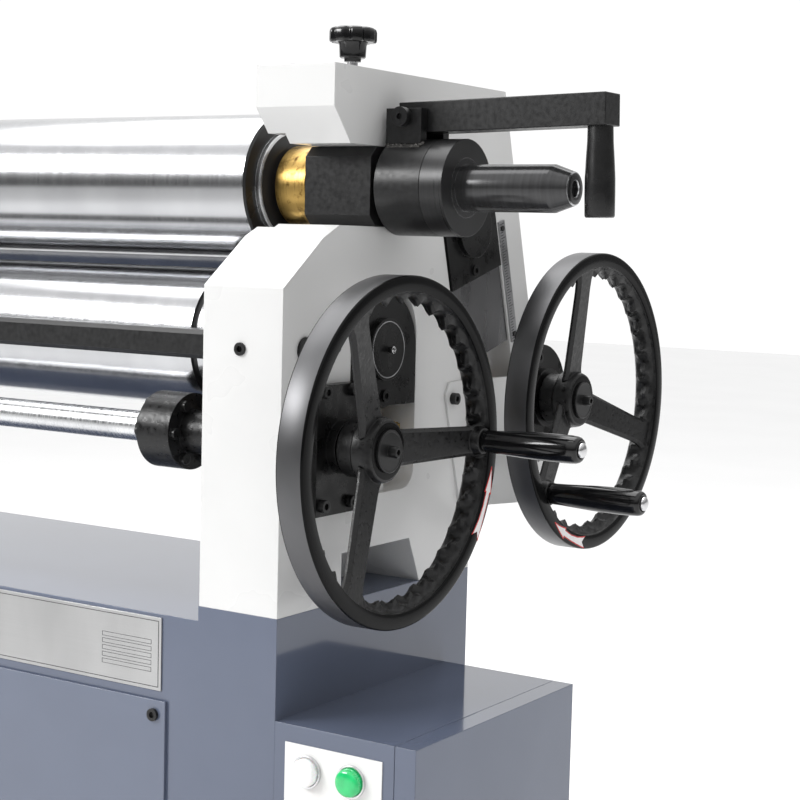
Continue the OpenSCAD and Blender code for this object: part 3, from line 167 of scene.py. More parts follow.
def blackened(name, low, high, rough, grain, depth, stretch=(1, 1, 1), edge=0.0008, metal=0.0, detail=4,
              shine=0.5):
    """Black paint or oxide over metal, with a grain that shows as gloss and bump."""
    mat, tree, shader = new_material(name)
    grainy = noise(tree, grain, stretch, detail)
    tree.links.new(ramp(tree, grainy, low, high), shader.inputs["Base Color"])
    tree.links.new(spread(tree, grainy, *rough), shader.inputs["Roughness"])
    shader.inputs["Metallic"].default_value = metal
    shader.inputs["Specular IOR Level"].default_value = shine
    rounded(tree, shader, edge, grainy, depth, 0.6)
    return mat


def bare_metal(name, low, high, rough, lines=(900, 8, 8), depth=0.00002, edge=0.0006, stains=None):
    """Turned, ground or brushed metal: fine lines run where the stretch is low."""
    mat, tree, shader = new_material(name)
    fine = noise(tree, 1, lines, detail=3, rough=0.6)
    broad = noise(tree, 5, (3, 1, 1), detail=4)
    tone = ramp(tree, broad, low, high)
    if stains:
        spotty = noise(tree, 90, detail=6, rough=0.65)
        spots = ramp(tree, spotty, (0, 0, 0), (1, 1, 1), (0.52, 0.68))
        mix = node(tree, "ShaderNodeMix", data_type="RGBA")
        tree.links.new(spots, mix.inputs["Factor"])
        tree.links.new(tone, mix.inputs[6])
        mix.inputs[7].default_value = (*stains, 1)
        tone = mix.outputs[2]
    tree.links.new(tone, shader.inputs["Base Color"])
    tree.links.new(spread(tree, fine, *rough), shader.inputs["Roughness"])
    shader.inputs["Metallic"].default_value = 1.0
    rounded(tree, shader, edge, fine, depth, 0.35)
    return mat


def plastic(name, low, high, rough=(0.14, 0.24), edge=0.0008, grain=60):
    """Moulded plastic: cloudy gloss and a fine texture."""
    mat, tree, shader = new_material(name)
    cloud = noise(tree, grain, detail=4)
    tree.links.new(ramp(tree, cloud, low, high), shader.inputs["Base Color"])
    tree.links.new(spread(tree, cloud, *rough), shader.inputs["Roughness"])
    shader.inputs["IOR"].default_value = 1.5
    rounded(tree, shader, edge, noise(tree, 500, detail=2), 0.00004, 0.3)
    return mat


def lamp_lens(name, low, high, glow):
    """A translucent coloured lens that glows a little."""
    mat, tree, shader = new_material(name)
    cloud = noise(tree, 80, detail=3)
    tree.links.new(ramp(tree, cloud, low, high), shader.inputs["Base Color"])
    tree.links.new(spread(tree, cloud, 0.08, 0.16), shader.inputs["Roughness"])
    shader.inputs["Subsurface Weight"].default_value = 0.3
    shader.inputs["Subsurface Scale"].default_value = 0.004
    shader.inputs["Emission Color"].default_value = (*glow, 1)
    shader.inputs["Emission Strength"].default_value = 0.12
    shader.inputs["Coat Weight"].default_value = 0.6
    return mat


# Painted sheet and castings
WHITE = enamel("white_enamel", (0.68, 0.68, 0.675), (0.72, 0.72, 0.715), rough=(0.26, 0.36))
BLUE = enamel("blue_enamel", (0.088, 0.106, 0.158), (0.104, 0.124, 0.182), rough=(0.08, 0.13), coat=0.3)
PANEL_BLUE = enamel("panel_enamel", (0.092, 0.110, 0.162), (0.106, 0.127, 0.186), rough=(0.09, 0.14),
                    coat=0.45)
DRIVE = enamel("drive_enamel", (0.07, 0.14, 0.23), (0.09, 0.17, 0.27))

# Black castings, plates and oxide
CAST_BLACK = blackened("cast_black", (0.004, 0.004, 0.0042), (0.012, 0.012, 0.0125), (0.24, 0.46),
                       230, 0.0005, edge=0.0011, shine=0.34)
PLATE_BLACK = blackened("plate_black", (0.003, 0.003, 0.003), (0.007, 0.007, 0.0072), (0.22, 0.40),
                        60, 0.00004, shine=0.3)
RIM_BLACK = blackened("rim_black", (0.0035, 0.0035, 0.0037), (0.0065, 0.0065, 0.0068), (0.13, 0.22),
                      9, 0.00002, edge=0.0008, shine=0.1)
RIM_TURNED = blackened("rim_turned", (0.085, 0.085, 0.088), (0.12, 0.12, 0.124), (0.32, 0.42),
                       9, 0.00002, edge=0.0008, metal=0.8)
OXIDE = blackened("black_oxide", (0.006, 0.006, 0.0063), (0.013, 0.013, 0.0135), (0.3, 0.42),
                  220, 0.00003, metal=0.05, shine=0.4)
OXIDE_TURNED = blackened("turned_oxide", (0.014, 0.014, 0.0145), (0.024, 0.024, 0.025), (0.26, 0.36),
                         1, 0.00001, stretch=(700, 10, 10), metal=0.2)
SHAFT_OXIDE = blackened("shaft_oxide", (0.050, 0.050, 0.051), (0.070, 0.070, 0.072), (0.16, 0.24),
                        1, 0.000004, stretch=(400, 12, 12), metal=0.6)
WELD = blackened("weld_metal", (0.035, 0.034, 0.033), (0.11, 0.105, 0.10), (0.12, 0.35),
                 380, 0.0004, metal=0.7)
SATIN_BLACK = plastic("satin_black", (0.006, 0.006, 0.006), (0.011, 0.011, 0.0115), (0.2, 0.3))
GLOSS_BLACK = plastic("gloss_black", (0.0035, 0.0035, 0.004), (0.006, 0.006, 0.0065), (0.08, 0.16))

# Bare metals
ROLL_STEEL = bare_metal("roll_steel", (0.40, 0.404, 0.415), (0.48, 0.484, 0.495), (0.14, 0.22), (500, 3, 3))
TURNED_STEEL = bare_metal("turned_steel", (0.50, 0.505, 0.515), (0.66, 0.665, 0.675), (0.2, 0.34),
                          (700, 6, 6))
GROUND_STEEL = bare_metal("ground_steel", (0.30, 0.30, 0.31), (0.46, 0.46, 0.47), (0.25, 0.42), (60, 60, 60))
BLOCK_STEEL = bare_metal("block_steel", (0.13, 0.13, 0.135), (0.25, 0.25, 0.255), (0.22, 0.42), (40, 40, 6))
BRIGHT_STEEL = bare_metal("bright_steel", (0.60, 0.60, 0.61), (0.72, 0.72, 0.73), (0.16, 0.28), (80, 80, 80))
BRONZE = bare_metal("bearing_bronze", (0.32, 0.20, 0.055), (0.58, 0.39, 0.13), (0.24, 0.42), (1400, 12, 12),
                    depth=0.00005, stains=(0.09, 0.045, 0.01))
ALUMINIUM = bare_metal("brushed_plate", (0.42, 0.42, 0.42), (0.50, 0.50, 0.50), (0.3, 0.44), (6, 6, 900))

# Plates, lamps and stickers
LABEL = plastic("label_white", (0.78, 0.78, 0.77), (0.83, 0.83, 0.82), (0.28, 0.4))
RED = plastic("signal_red", (0.55, 0.02, 0.02), (0.65, 0.03, 0.03), (0.16, 0.26))
STICKER_WHITE = plastic("sticker_white", (0.78, 0.76, 0.76), (0.84, 0.82, 0.82), (0.25, 0.35))
INK = plastic("engraved_ink", (0.05, 0.05, 0.055), (0.09, 0.09, 0.095), (0.4, 0.5))
CLEAR_LENS = lamp_lens("lens_white", (0.80, 0.80, 0.80), (0.90, 0.90, 0.90), (0.9, 0.9, 0.9))
GREEN_LENS = lamp_lens("lens_green", (0.01, 0.42, 0.12), (0.02, 0.60, 0.18), (0.0, 0.7, 0.2))

NODE_FINISH = {
    WHITE: ["right_frame", "left_frame", "gear_hoods"],
    BLUE: ["base_cabinet", "foot_beams", "drive_guard", "control_box", "box_door"],
    PANEL_BLUE: ["front_panel"],
    DRIVE: ["gearbox", "drive_motor"],
    CAST_BLACK: ["front_handwheel", "rear_handwheel", "front_coupling"],
    PLATE_BLACK: ["front_shaft_bearings", "rear_shaft_housings", "front_block_right", "front_block_left",
                  "front_bearing_cap", "rear_bearing_covers"],
    OXIDE: ["front_tie_bar", "top_bearing_block", "swivel_block", "lever", "lever_pin", "frame_screws"],
    OXIDE_TURNED: ["shaft_collar"],
    GLOSS_BLACK: ["front_handle", "rear_handle", "clamp_knob", "cable_gland"],
    ROLL_STEEL: ["front_roll", "rear_roll", "top_roll"],
    TURNED_STEEL: ["front_cross_shaft", "rear_cross_shaft", "front_lift_screws", "rear_lift_screws"],
    BLOCK_STEEL: ["rear_block_right", "rear_block_left"],
    GROUND_STEEL: ["slide_scales"],
    BRIGHT_STEEL: ["trunnion_pins", "frame_bolts", "torque_pin", "door_hinge_pins", "clamp_pad",
                   "front_wheel_bolts", "rear_wheel_bolts", "panel_bezels"],
    BRONZE: ["top_bush", "front_bushes", "rear_bushes", "front_nut_right", "front_nut_left", "rear_nut_right",
             "rear_nut_left"],
    ALUMINIUM: ["nameplate"],
    LABEL: ["control_label"],
    RED: ["stop_button"],
    GREEN_LENS: ["pilot_lenses"],
}
for finish, names in NODE_FINISH.items():
    for name in names:
        shown = frame["nodes"][name]
        shown.data.materials.clear()
        shown.data.materials.append(finish)

# Camera: solved from the photograph

CAMERA_AT = Vector((1.704, -1.393, 0.939))
CAMERA_AZIMUTH = 32.13
CAMERA_PITCH = 4.81
CAMERA_ROLL = 1.54
FOCAL_PX = 1741
IMAGE_PX = 800
CENTRE_PX = (433.6, 389.7)
SENSOR_MM = 36
CLIP_START = 0.05


def make_camera():
    """The photograph's camera."""
    data = bpy.data.cameras.new("view")
    data.sensor_width = SENSOR_MM
    data.lens = FOCAL_PX * SENSOR_MM / IMAGE_PX
    data.shift_x = (IMAGE_PX / 2 - CENTRE_PX[0]) / IMAGE_PX
    data.shift_y = (CENTRE_PX[1] - IMAGE_PX / 2) / IMAGE_PX
    data.clip_start = CLIP_START
    camera = bpy.data.objects.new("view", data)
    az, pitch, roll = (math.radians(a) for a in (CAMERA_AZIMUTH, CAMERA_PITCH, CAMERA_ROLL))
    forward = Vector((-math.sin(az) * math.cos(pitch), math.cos(az) * math.cos(pitch), -math.sin(pitch)))
    right = Vector((math.cos(az), math.sin(az), 0))
    up = right.cross(forward)
    rolled = right * math.cos(roll) + up * math.sin(roll)
    upright = up * math.cos(roll) - right * math.sin(roll)
    turn = Matrix((rolled, upright, -forward)).transposed().to_4x4()
    camera.matrix_world = Matrix.Translation(CAMERA_AT) @ turn
    bpy.context.scene.collection.objects.link(camera)
    bpy.context.scene.camera = camera


make_camera()


# Studio: pale floor, soft lights and a bright room

bpy.context.scene.view_settings.view_transform = "Standard"

FLOOR_REACH = 14
FLOOR_LOW = (0.83, 0.83, 0.83)
FLOOR_HIGH = (0.85, 0.85, 0.85)
FLOOR_ROUGH = 0.7
# Room light: low and high strength, and where it starts and ends along the direction's part
BEHIND = (0.0, 1.0, (0.0, 0.35))
LEFT = (1.05, 0.25, (-0.15, 0.3))
ABOVE = (0.12, 1.25, (0.1, 0.7))


def make_floor():
    r = FLOOR_REACH
    mesh = bpy.data.meshes.new("floor")
    mesh.from_pydata([(-r, -r, 0), (r, -r, 0), (r, r, 0), (-r, r, 0)], [], [(0, 1, 2, 3)])
    floor = bpy.data.objects.new("floor", mesh)
    mat, tree, shader = new_material("floor_pale")
    tree.links.new(ramp(tree, noise(tree, 2), FLOOR_LOW, FLOOR_HIGH), shader.inputs["Base Color"])
    shader.inputs["Roughness"].default_value = FLOOR_ROUGH
    mesh.materials.append(mat)
    bpy.context.scene.collection.objects.link(floor)


def make_world():
    """A bright room: light from behind on the left, and from above."""
    world = bpy.data.worlds.new("studio")
    world.use_nodes = True
    tree = world.node_tree
    background = tree.nodes["Background"]
    coord = node(tree, "ShaderNodeTexCoord")
    parts = node(tree, "ShaderNodeSeparateXYZ")
    tree.links.new(coord.outputs["Generated"], parts.inputs[0])
    behind = spread(tree, parts.outputs["Y"], *BEHIND)
    left = spread(tree, parts.outputs["X"], *LEFT)
    above = spread(tree, parts.outputs["Z"], *ABOVE)
    product = node(tree, "ShaderNodeMath", operation="MULTIPLY")
    tree.links.new(behind, product.inputs[0])
    tree.links.new(left, product.inputs[1])
    most = node(tree, "ShaderNodeMath", operation="MAXIMUM")
    tree.links.new(product.outputs[0], most.inputs[0])
    tree.links.new(above, most.inputs[1])
    tree.links.new(most.outputs[0], background.inputs["Strength"])
    background.inputs["Color"].default_value = (1, 1, 1, 1)
    bpy.context.scene.world = world


def add_light(name, at, target, size, energy, size_y=None, cone=180):
    """A rectangular light; the cone is in degrees."""
    data = bpy.data.lights.new(name, "AREA")
    data.spread = math.radians(cone)
    data.shape = "RECTANGLE"
    data.size = size
    data.size_y = size_y or size
    data.energy = energy
    light = bpy.data.objects.new(name, data)
    light.location = at
    light.rotation_euler = (Vector(target) - Vector(at)).to_track_quat("-Z", "Y").to_euler()
    bpy.context.scene.collection.objects.link(light)


make_floor()
make_world()
add_light("key", at=(-1.7, -2.5, 2.5), target=(0.5, 0, 0.8), size=2.0, energy=39, size_y=1.0, cone=110)
add_light("top", at=(-0.6, 0.6, 3.4), target=(-0.4, 0.6, 0), size=3.0, energy=82)


# Mesh helpers

def place(name, bm, materials, body, replaced=(), sharp=35):
    """Turns a bmesh into a piece that rides on a body."""
    mesh = bpy.data.meshes.new(name)
    bmesh.ops.recalc_face_normals(bm, faces=bm.faces)
    bm.to_mesh(mesh)
    bm.free()
    for mat in materials:
        mesh.materials.append(mat)
    mesh.polygons.foreach_set("use_smooth", [True] * len(mesh.polygons))
    mesh.set_sharp_from_angle(angle=math.radians(sharp))
    piece = bpy.data.objects.new(name, mesh)
    bpy.context.scene.collection.objects.link(piece)
    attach(piece, body)
    if replaced:
        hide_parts(*replaced)
    return piece


def soften(piece, width, segments=3):
    """Rounds the sharp edges of a piece."""
    made = piece.modifiers.new("edges", "BEVEL")
    made.width = width
    made.segments = segments
    made.limit_method = "ANGLE"
    made.angle_limit = math.radians(40)
    made.harden_normals = False
    return piece


def lathe(bm, profile, centre, steps=96, axis=Vector((1, 0, 0)), closed=False):
    """Revolves (along, radius, material) points round an axis through a centre."""
    side = Vector((0, 0, 1)) if abs(axis.z) < 0.7 else Vector((0, 1, 0))
    u = axis.cross(side).normalized()
    v = axis.cross(u)
    rings = []
    for along, radius, _ in profile:
        at = centre + axis * along
        if radius == 0:
            rings.append([bm.verts.new(at)] * steps)
        else:
            turn = [TAU * i / steps for i in range(steps)]
            rings.append([bm.verts.new(at + (u * math.cos(a) + v * math.sin(a)) * radius) for a in turn])
    pairs = list(zip(range(len(rings) - 1), range(1, len(rings))))
    if closed:
        pairs.append((len(rings) - 1, 0))
    for first, second in pairs:
        for i in range(steps):
            j = (i + 1) % steps
            corners = [rings[first][i], rings[first][j], rings[second][j], rings[second][i]]
            unique = list(dict.fromkeys(corners))
            if len(unique) > 2:
                face = bm.faces.new(unique)
                face.material_index = profile[second][2]
    return rings


def turned(name, profile, centre, materials, body, slot_name, replaced=(), **options):
    """A piece turned from a profile."""
    bm = bmesh.new()
    lathe(bm, profile, centre, **options)
    return place(name, bm, materials, body, replaced)


def loft(bm, loops, close_ends=True, material=0):
    """Joins rings of points that have the same count."""
    rings = [[bm.verts.new(p) for p in loop] for loop in loops]
    count = len(rings[0])
    for first, second in zip(rings, rings[1:]):
        for i in range(count):
            j = (i + 1) % count
            face = bm.faces.new((first[i], first[j], second[j], second[i]))
            face.material_index = material
    if close_ends:
        bm.faces.new(list(reversed(rings[0]))).material_index = material
        bm.faces.new(rings[-1]).material_index = material
    return rings


def bar(bm, low, high, material=0):
    """A box between two corners."""
    x0, y0, z0 = low
    x1, y1, z1 = high
    ring = [(y0, z0), (y1, z0), (y1, z1), (y0, z1)]
    loops = [[Vector((x, y, z)) for y, z in ring] for x in (x0, x1)]
    loft(bm, loops, material=material)


def polar(radius, angle, x=0.0):
    """A point in a plane across X, at an angle from +Y to +Z."""
    return Vector((x, radius * math.cos(angle), radius * math.sin(angle)))


def lumpy(value, seed):
    """A smooth pseudo-random number from -1 to 1."""
    return 0.6 * math.sin(2.3 * value + seed) + 0.4 * math.sin(5.1 * value + 1.7 * seed)


# Rolls

def barrel_ends(name, centre):
    """Where a roll's barrel starts and ends along X, and its radius."""
    points = [v.co for v in frame["nodes"][name].data.vertices]
    far = [(math.hypot(p.y - centre.y, p.z - centre.z), p.x) for p in points]
    radius = max(r for r, _ in far)
    on_barrel = [x for r, x in far if r > radius - 0.05 * MM]
    return min(on_barrel), max(on_barrel), radius


ROLL_STEPS = 192
END_CHAMFER = 2 * MM
STEP_RADIUS = 55 * MM
STEP_LENGTH = 6 * MM
JOURNAL_RADIUS = 27.9 * MM
# Wiring grooves: distance from the barrel's end and half width, in mm
GROOVES = [(54, 4.0), (36, 3.0), (18, 2.0)]
GROOVE_STEPS = 8
GROOVE_LIP = 1.15
# The top roll's shaft: its ring's outer face, its bare radius, and its tapered tip
RING_END = 82.7 * MM
BARE_RADIUS = 22 * MM
TIP_CONE = 19.5 * MM
TIP_RADIUS = 15 * MM


def roll_end(x, radius, sign):
    """Chamfer, dark end face and turned step of a roll's end, from the barrel to the journal."""
    points = [
        (x - sign * END_CHAMFER, radius, 0), (x, radius - END_CHAMFER, 1), (x, STEP_RADIUS, 1),
        (x + sign * STEP_LENGTH * 0.7, STEP_RADIUS - 0.4 * MM, 2),
        (x + sign * STEP_LENGTH, STEP_RADIUS - 3 * MM, 2), (x + sign * STEP_LENGTH, JOURNAL_RADIUS, 1),
    ]
    return points if sign > 0 else list(reversed(points))


def groove(x, radius, half):
    """A round-bottomed wiring groove across a barrel; its inside takes finish 1, the dark oxide, as painted
    shade.
    """
    points = [(x - half * GROOVE_LIP, radius, 0)]
    for i in range(GROOVE_STEPS + 1):
        a = math.pi * i / GROOVE_STEPS
        points.append((x - half * math.cos(a), radius - half * math.sin(a), 1 if 0 < i else 0))
    points.append((x + half * GROOVE_LIP, radius, 0))
    return points


def lower_roll(name, centre, body):
    """A roll with three wiring grooves at its right end."""
    x0, x1, radius = barrel_ends(name, centre)
    profile = [(lo(name).x, 0, 0), (lo(name).x, JOURNAL_RADIUS, 2)]
    profile += roll_end(x0, radius, -1)
    for offset, half in GROOVES:
        profile += groove(x1 - offset * MM, radius, half * MM)
    profile += roll_end(x1, radius, 1)
    profile += [(hi(name).x, JOURNAL_RADIUS, 2), (hi(name).x, 0, 2)]
    at = Vector((0, centre.y, centre.z))
    # Finish 1, the dark oxide, is the roll ends' own finish and painted shade inside the grooves
    finishes = [ROLL_STEEL, OXIDE_TURNED, TURNED_STEEL]
    turned(name + "_turned", profile, at, finishes, body, "roll_steel", [name], steps=ROLL_STEPS)


def top_roll():
    """The top roll with its bare shaft end, tapered and centre-drilled."""
    x0, x1, radius = barrel_ends("top_roll", TOP_ROLL)
    tip = hi("top_roll").x
    taper = tip - TIP_CONE
    ring_end = FACE_X + RING_END
    profile = [(lo("top_roll").x, 0, 2), (lo("top_roll").x, JOURNAL_RADIUS, 2)]
    profile += roll_end(x0, radius, -1) + roll_end(x1, radius, 1)
    profile += [
        (ring_end, JOURNAL_RADIUS, 2), (ring_end, BARE_RADIUS, 3), (taper - 0.6 * MM, BARE_RADIUS, 3),
        (taper + 0.4 * MM, BARE_RADIUS - 0.4 * MM, 3), (tip - 0.8 * MM, TIP_RADIUS + 0.5 * MM, 3),
        (tip, TIP_RADIUS - 0.8 * MM, 2), (tip, 8 * MM, 3), (tip - 1.2 * MM, 7.4 * MM, 2),
        (tip - 5 * MM, 7 * MM, 3), (tip - 6 * MM, 4 * MM, 3), (tip - 12 * MM, 3.6 * MM, 3),
        (tip - 13 * MM, 0, 3),
    ]
    at = Vector((0, TOP_ROLL.y, TOP_ROLL.z))
    finishes = [ROLL_STEEL, OXIDE_TURNED, TURNED_STEEL, SHAFT_OXIDE]
    turned("top_roll_turned", profile, at, finishes, "top_roller", "roll_steel", ["top_roll"],
           steps=ROLL_STEPS)


lower_roll("front_roll", FRONT_ROLL, "front_roller")
lower_roll("rear_roll", REAR_ROLL, "rear_roller")
top_roll()


# Bearings

def top_bush():
    """The flanged bronze bush of the top roll's right bearing."""
    low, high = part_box("top_bush")
    flange_end = low.x + 37 * MM
    flange_r = (high.z - low.z) / 2
    edge = 0.9 * MM
    bore_r = 28.1 * MM
    sleeve_r = 31.4 * MM
    profile = [
        (low.x, bore_r, 0), (low.x, flange_r - edge, 0), (low.x + edge, flange_r, 0),
        (flange_end - edge, flange_r, 0), (flange_end, flange_r - edge, 0), (flange_end, sleeve_r, 0),
        (high.x, sleeve_r, 0), (high.x, bore_r, 0),
    ]
    at = Vector((0, TOP_ROLL.y, TOP_ROLL.z))
    turned("top_bush_turned", profile, at, [BRONZE], "top_swing", "bronze", ["top_bush"], steps=128,
           closed=True)


def weld_bead(name, route, radius, body, seed):
    """A lumpy run of weld along a route."""
    bm = bmesh.new()
    sides = 10
    per_leg = 26
    points = []
    for first, second in zip(route, route[1:]):
        points += [first.lerp(second, i / per_leg) for i in range(per_leg)]
    points.append(route[-1])
    loops = []
    for i, p in enumerate(points):
        ahead = points[min(i + 1, len(points) - 1)] - points[max(i - 1, 0)]
        along = ahead.normalized()
        u = along.cross(Vector((0, 0, 1))).normalized()
        v = along.cross(u)
        end = min(i, len(points) - 1 - i)
        swell = min(1, 0.35 + end * 0.3) * (1 + 0.22 * lumpy(i * 0.9, seed))
        loops.append([
            p + (u * math.cos(TAU * k / sides) + v * math.sin(TAU * k / sides)) * radius * swell
            * (1 + 0.12 * lumpy(i * 1.7 + k * 2.1, seed + 3))
            for k in range(sides)
        ])
    loft(bm, loops)
    return place(name, bm, [WELD], body, sharp=60)


# The lug plates that the lever turns on, and the collar below them
LUG_FRONT_Y = lo("lever_pin").y + 8 * MM
LUG_X0 = FACE_X + 9.5 * MM
LUG_X1 = FACE_X + 46 * MM
LUG_THICK = 10 * MM
BEAD_R = 2.6 * MM
BEAD_OUT = 0.5 * MM
COLLAR_R = (hi("shaft_collar").z - lo("shaft_collar").z) / 2


def on_collar(x, y):
    """The point on top of the collar at a place seen from above."""
    return Vector((x, y, TOP_ROLL.z + math.sqrt(COLLAR_R ** 2 - (y - TOP_ROLL.y) ** 2) - 0.6 * MM))


def lug_welds():
    """Weld round three sides of each lug."""
    rear_y = 2 * TOP_ROLL.y - LUG_FRONT_Y
    for side, y, inward, seed in (("front", LUG_FRONT_Y, 1, 1.0), ("rear", rear_y, -1, 4.0)):
        middle = y + inward * LUG_THICK / 2
        outside = y - inward * BEAD_OUT
        corners = [(LUG_X0, middle), (LUG_X0, outside), (LUG_X1, outside), (LUG_X1, middle)]
        route = [on_collar(x, across) for x, across in corners]
        weld_bead("lug_weld_" + side, route, BEAD_R, "top_swing", seed)


top_bush()
lug_welds()


# Lever and clamp knob

def lever():
    """The lever's bar and its tapered grip."""
    at = pivot("lever_fold")
    tilt = math.radians(1.5)
    half = 14.5 * MM
    start = -12 * MM
    end = 205 * MM
    grip_x = end - 12 * MM
    turn = Matrix.Translation(at) @ Matrix.Rotation(-tilt, 4, "Y")
    bm = bmesh.new()
    bar(bm, (start, -half, -half), (end, half, half))
    bm.transform(turn)
    soften(place("lever_bar", bm, [OXIDE], "lever_arm", ["lever"]), 0.8 * MM, 2)
    profile = [
        (0.5 * MM, 0, 0), (0.5 * MM, 11.5 * MM, 0), (-1 * MM, 11.6 * MM, 0), (-14 * MM, 11.9 * MM, 0),
        (-30 * MM, 12.9 * MM, 0), (-46 * MM, 13.7 * MM, 0), (-60 * MM, 13.8 * MM, 0),
        (-79 * MM, 13.6 * MM, 0), (-80.4 * MM, 13.2 * MM, 0), (-81 * MM, 12.4 * MM, 0), (-81 * MM, 0, 0),
    ]
    bm = bmesh.new()
    lathe(bm, profile, Vector((grip_x, 0, -half)), axis=Vector((0, 0, 1)), steps=64)
    bm.transform(turn)
    place("lever_grip", bm, [SATIN_BLACK], "lever_arm")


def clamp_knob():
    """Star knob: fluted cap on a hub, with its plain screw."""
    at = pivot("clamp_turn")
    top = hi("clamp_knob").z
    bottom = lo("clamp_knob").z
    radius = (hi("clamp_knob").x - lo("clamp_knob").x) / 2
    cap = 14 * MM
    hub = 15 * MM
    hub_r = 12.7 * MM
    stem_r = 5.2 * MM
    axis_at = Vector((at.x, at.y, 0))
    seat = top - cap
    foot = seat - hub
    profile = [
        (bottom, 0, 1), (bottom, stem_r, 1), (foot - 4 * MM, stem_r, 1), (foot - 3.5 * MM, 8 * MM, 0),
        (foot, 8.4 * MM, 0), (foot, hub_r - 1 * MM, 0), (foot + 1 * MM, hub_r, 0),
        (seat - 3 * MM, hub_r + 0.6 * MM, 0), (seat, hub_r + 2 * MM, 0), (seat, 0, 0),
    ]
    turned("clamp_hub", profile, axis_at, [GLOSS_BLACK, BRIGHT_STEEL], "clamp_screw", "black_plastic",
           ["clamp_knob"], axis=Vector((0, 0, 1)), steps=64)
    bm = bmesh.new()
    count = 192
    lobes = 8
    levels = [(0, 0.955), (0.8, 0.985), (2.2, 1.0), (9.5, 1.0), (11.8, 0.975), (13.2, 0.92), (14, 0.82)]
    loops = []
    for height, share in levels:
        ring = []
        for i in range(count):
            a = TAU * i / count
            dip = 0.13 * max(0.0, -math.cos(lobes * a)) ** 1.4
            r = radius * share * (1 - dip)
            ring.append(Vector((at.x + r * math.cos(a), at.y + r * math.sin(a), seat + height * MM)))
        loops.append(ring)
    loft(bm, loops)
    place("clamp_cap", bm, [GLOSS_BLACK], "clamp_screw", sharp=50)


lever()
clamp_knob()


# Handwheels

RIM_R = (hi("front_handwheel").z - lo("front_handwheel").z) / 2
RIM_X1 = hi("front_handwheel").x - FACE_X
RIM_X0 = RIM_X1 - 28 * MM
RIM_FACE = 15 * MM
RIM_INNER = RIM_R - RIM_FACE
RIM_FACE_POINTS = 8
GRIP_WAVES = 32
GRIP_DEPTH = 9 * MM
STEPS_PER_WAVE = 16
HANDLE_RING = 136 * MM
SPOKES = 3
SPOKE_THICK = 6 * MM
SPOKE_BEVEL_DEEP = 3 * MM
SPOKE_BEVEL_WIDE = 3.5 * MM
SPOKE_BACK_EDGE = 0.6 * MM
# Along a spoke: radius and half width, in mm
SPOKE_LEGS = [(26, 19.5), (31, 17.6), (38, 16.9), (60, 16.2), (95, 15.1), (122, 14.3), (132, 14.9),
              (138, 16.8), (146, 19.5)]
# Profiles from the frame's face: along X and radius in mm, and the material
HUB = [(24, 15.2, 1), (24, 25.6, 1), (25.2, 26.9, 1), (41, 26.9, 1), (42.4, 30.2, 1), (44.2, 31.8, 1),
       (47, 31.8, 1), (59.5, 29.6, 1), (62.2, 28.2, 1), (63.3, 26.2, 1), (63.4, 25.4, 0), (63.4, 15.2, 0)]
BOSS = [(64, 0, 1), (64, 12, 1), (66, 13.6, 1), (74, 14, 1), (80, 13.4, 1), (84, 12.6, 1), (84.8, 11.8, 1),
        (84.8, 0, 1)]
WASHER = [(63.45, 0, 0), (63.45, 19.9, 0), (65.9, 19.9, 0), (66.5, 19.2, 0), (66.5, 18.2, 0),
          (66.1, 17.8, 0), (66.1, 0, 0)]
# The domed end of the handle's stud: distance back from its tip, and radius, in mm
STUD_DOME = [(4.3, 5.9), (3.6, 7.3), (2.2, 7.0), (1.1, 5.6), (0.4, 3.4), (0.1, 0)]
# The handle: share of its length, and radius in mm
HANDLE = [(0, 10.2), (0.01, 10.9), (0.06, 10.9), (0.14, 11.2), (0.3, 12.1), (0.45, 12.9), (0.6, 13.4),
          (0.75, 13.5), (0.9, 13.3), (0.955, 12.9), (0.98, 12.1), (0.995, 10.9), (1, 9.4), (0.998, 8.2),
          (0.985, 7.4)]
HANDLE_BORE = 6.2 * MM
# The arrow on the rim: share of its length, and half width in mm, for its red edge and its white inside
ARROW_WIDE = [(0, 0.3), (0.12, 2.2), (0.24, 4.4), (0.36, 6.6), (0.36, 3.8), (0.55, 3.6), (0.75, 4.4),
              (0.9, 5.8), (1, 7.0)]
ARROW_NARROW = [(0.05, 0.1), (0.13, 1.2), (0.24, 3.0), (0.335, 4.6), (0.345, 2.6), (0.55, 2.4), (0.75, 3.2),
                (0.9, 4.6), (0.965, 5.2)]
# Start and end of the arrow on each wheel, in degrees
ARROWS = {"front": (-9.7, -37.5), "rear": (-128, -99)}


def scallop(angle):
    """0 in the hollows of the grip and 1 on its ridges, with a sharp crest."""
    phase = (angle * GRIP_WAVES / TAU) % 1.0
    return abs(2 * phase - 1) ** 1.6


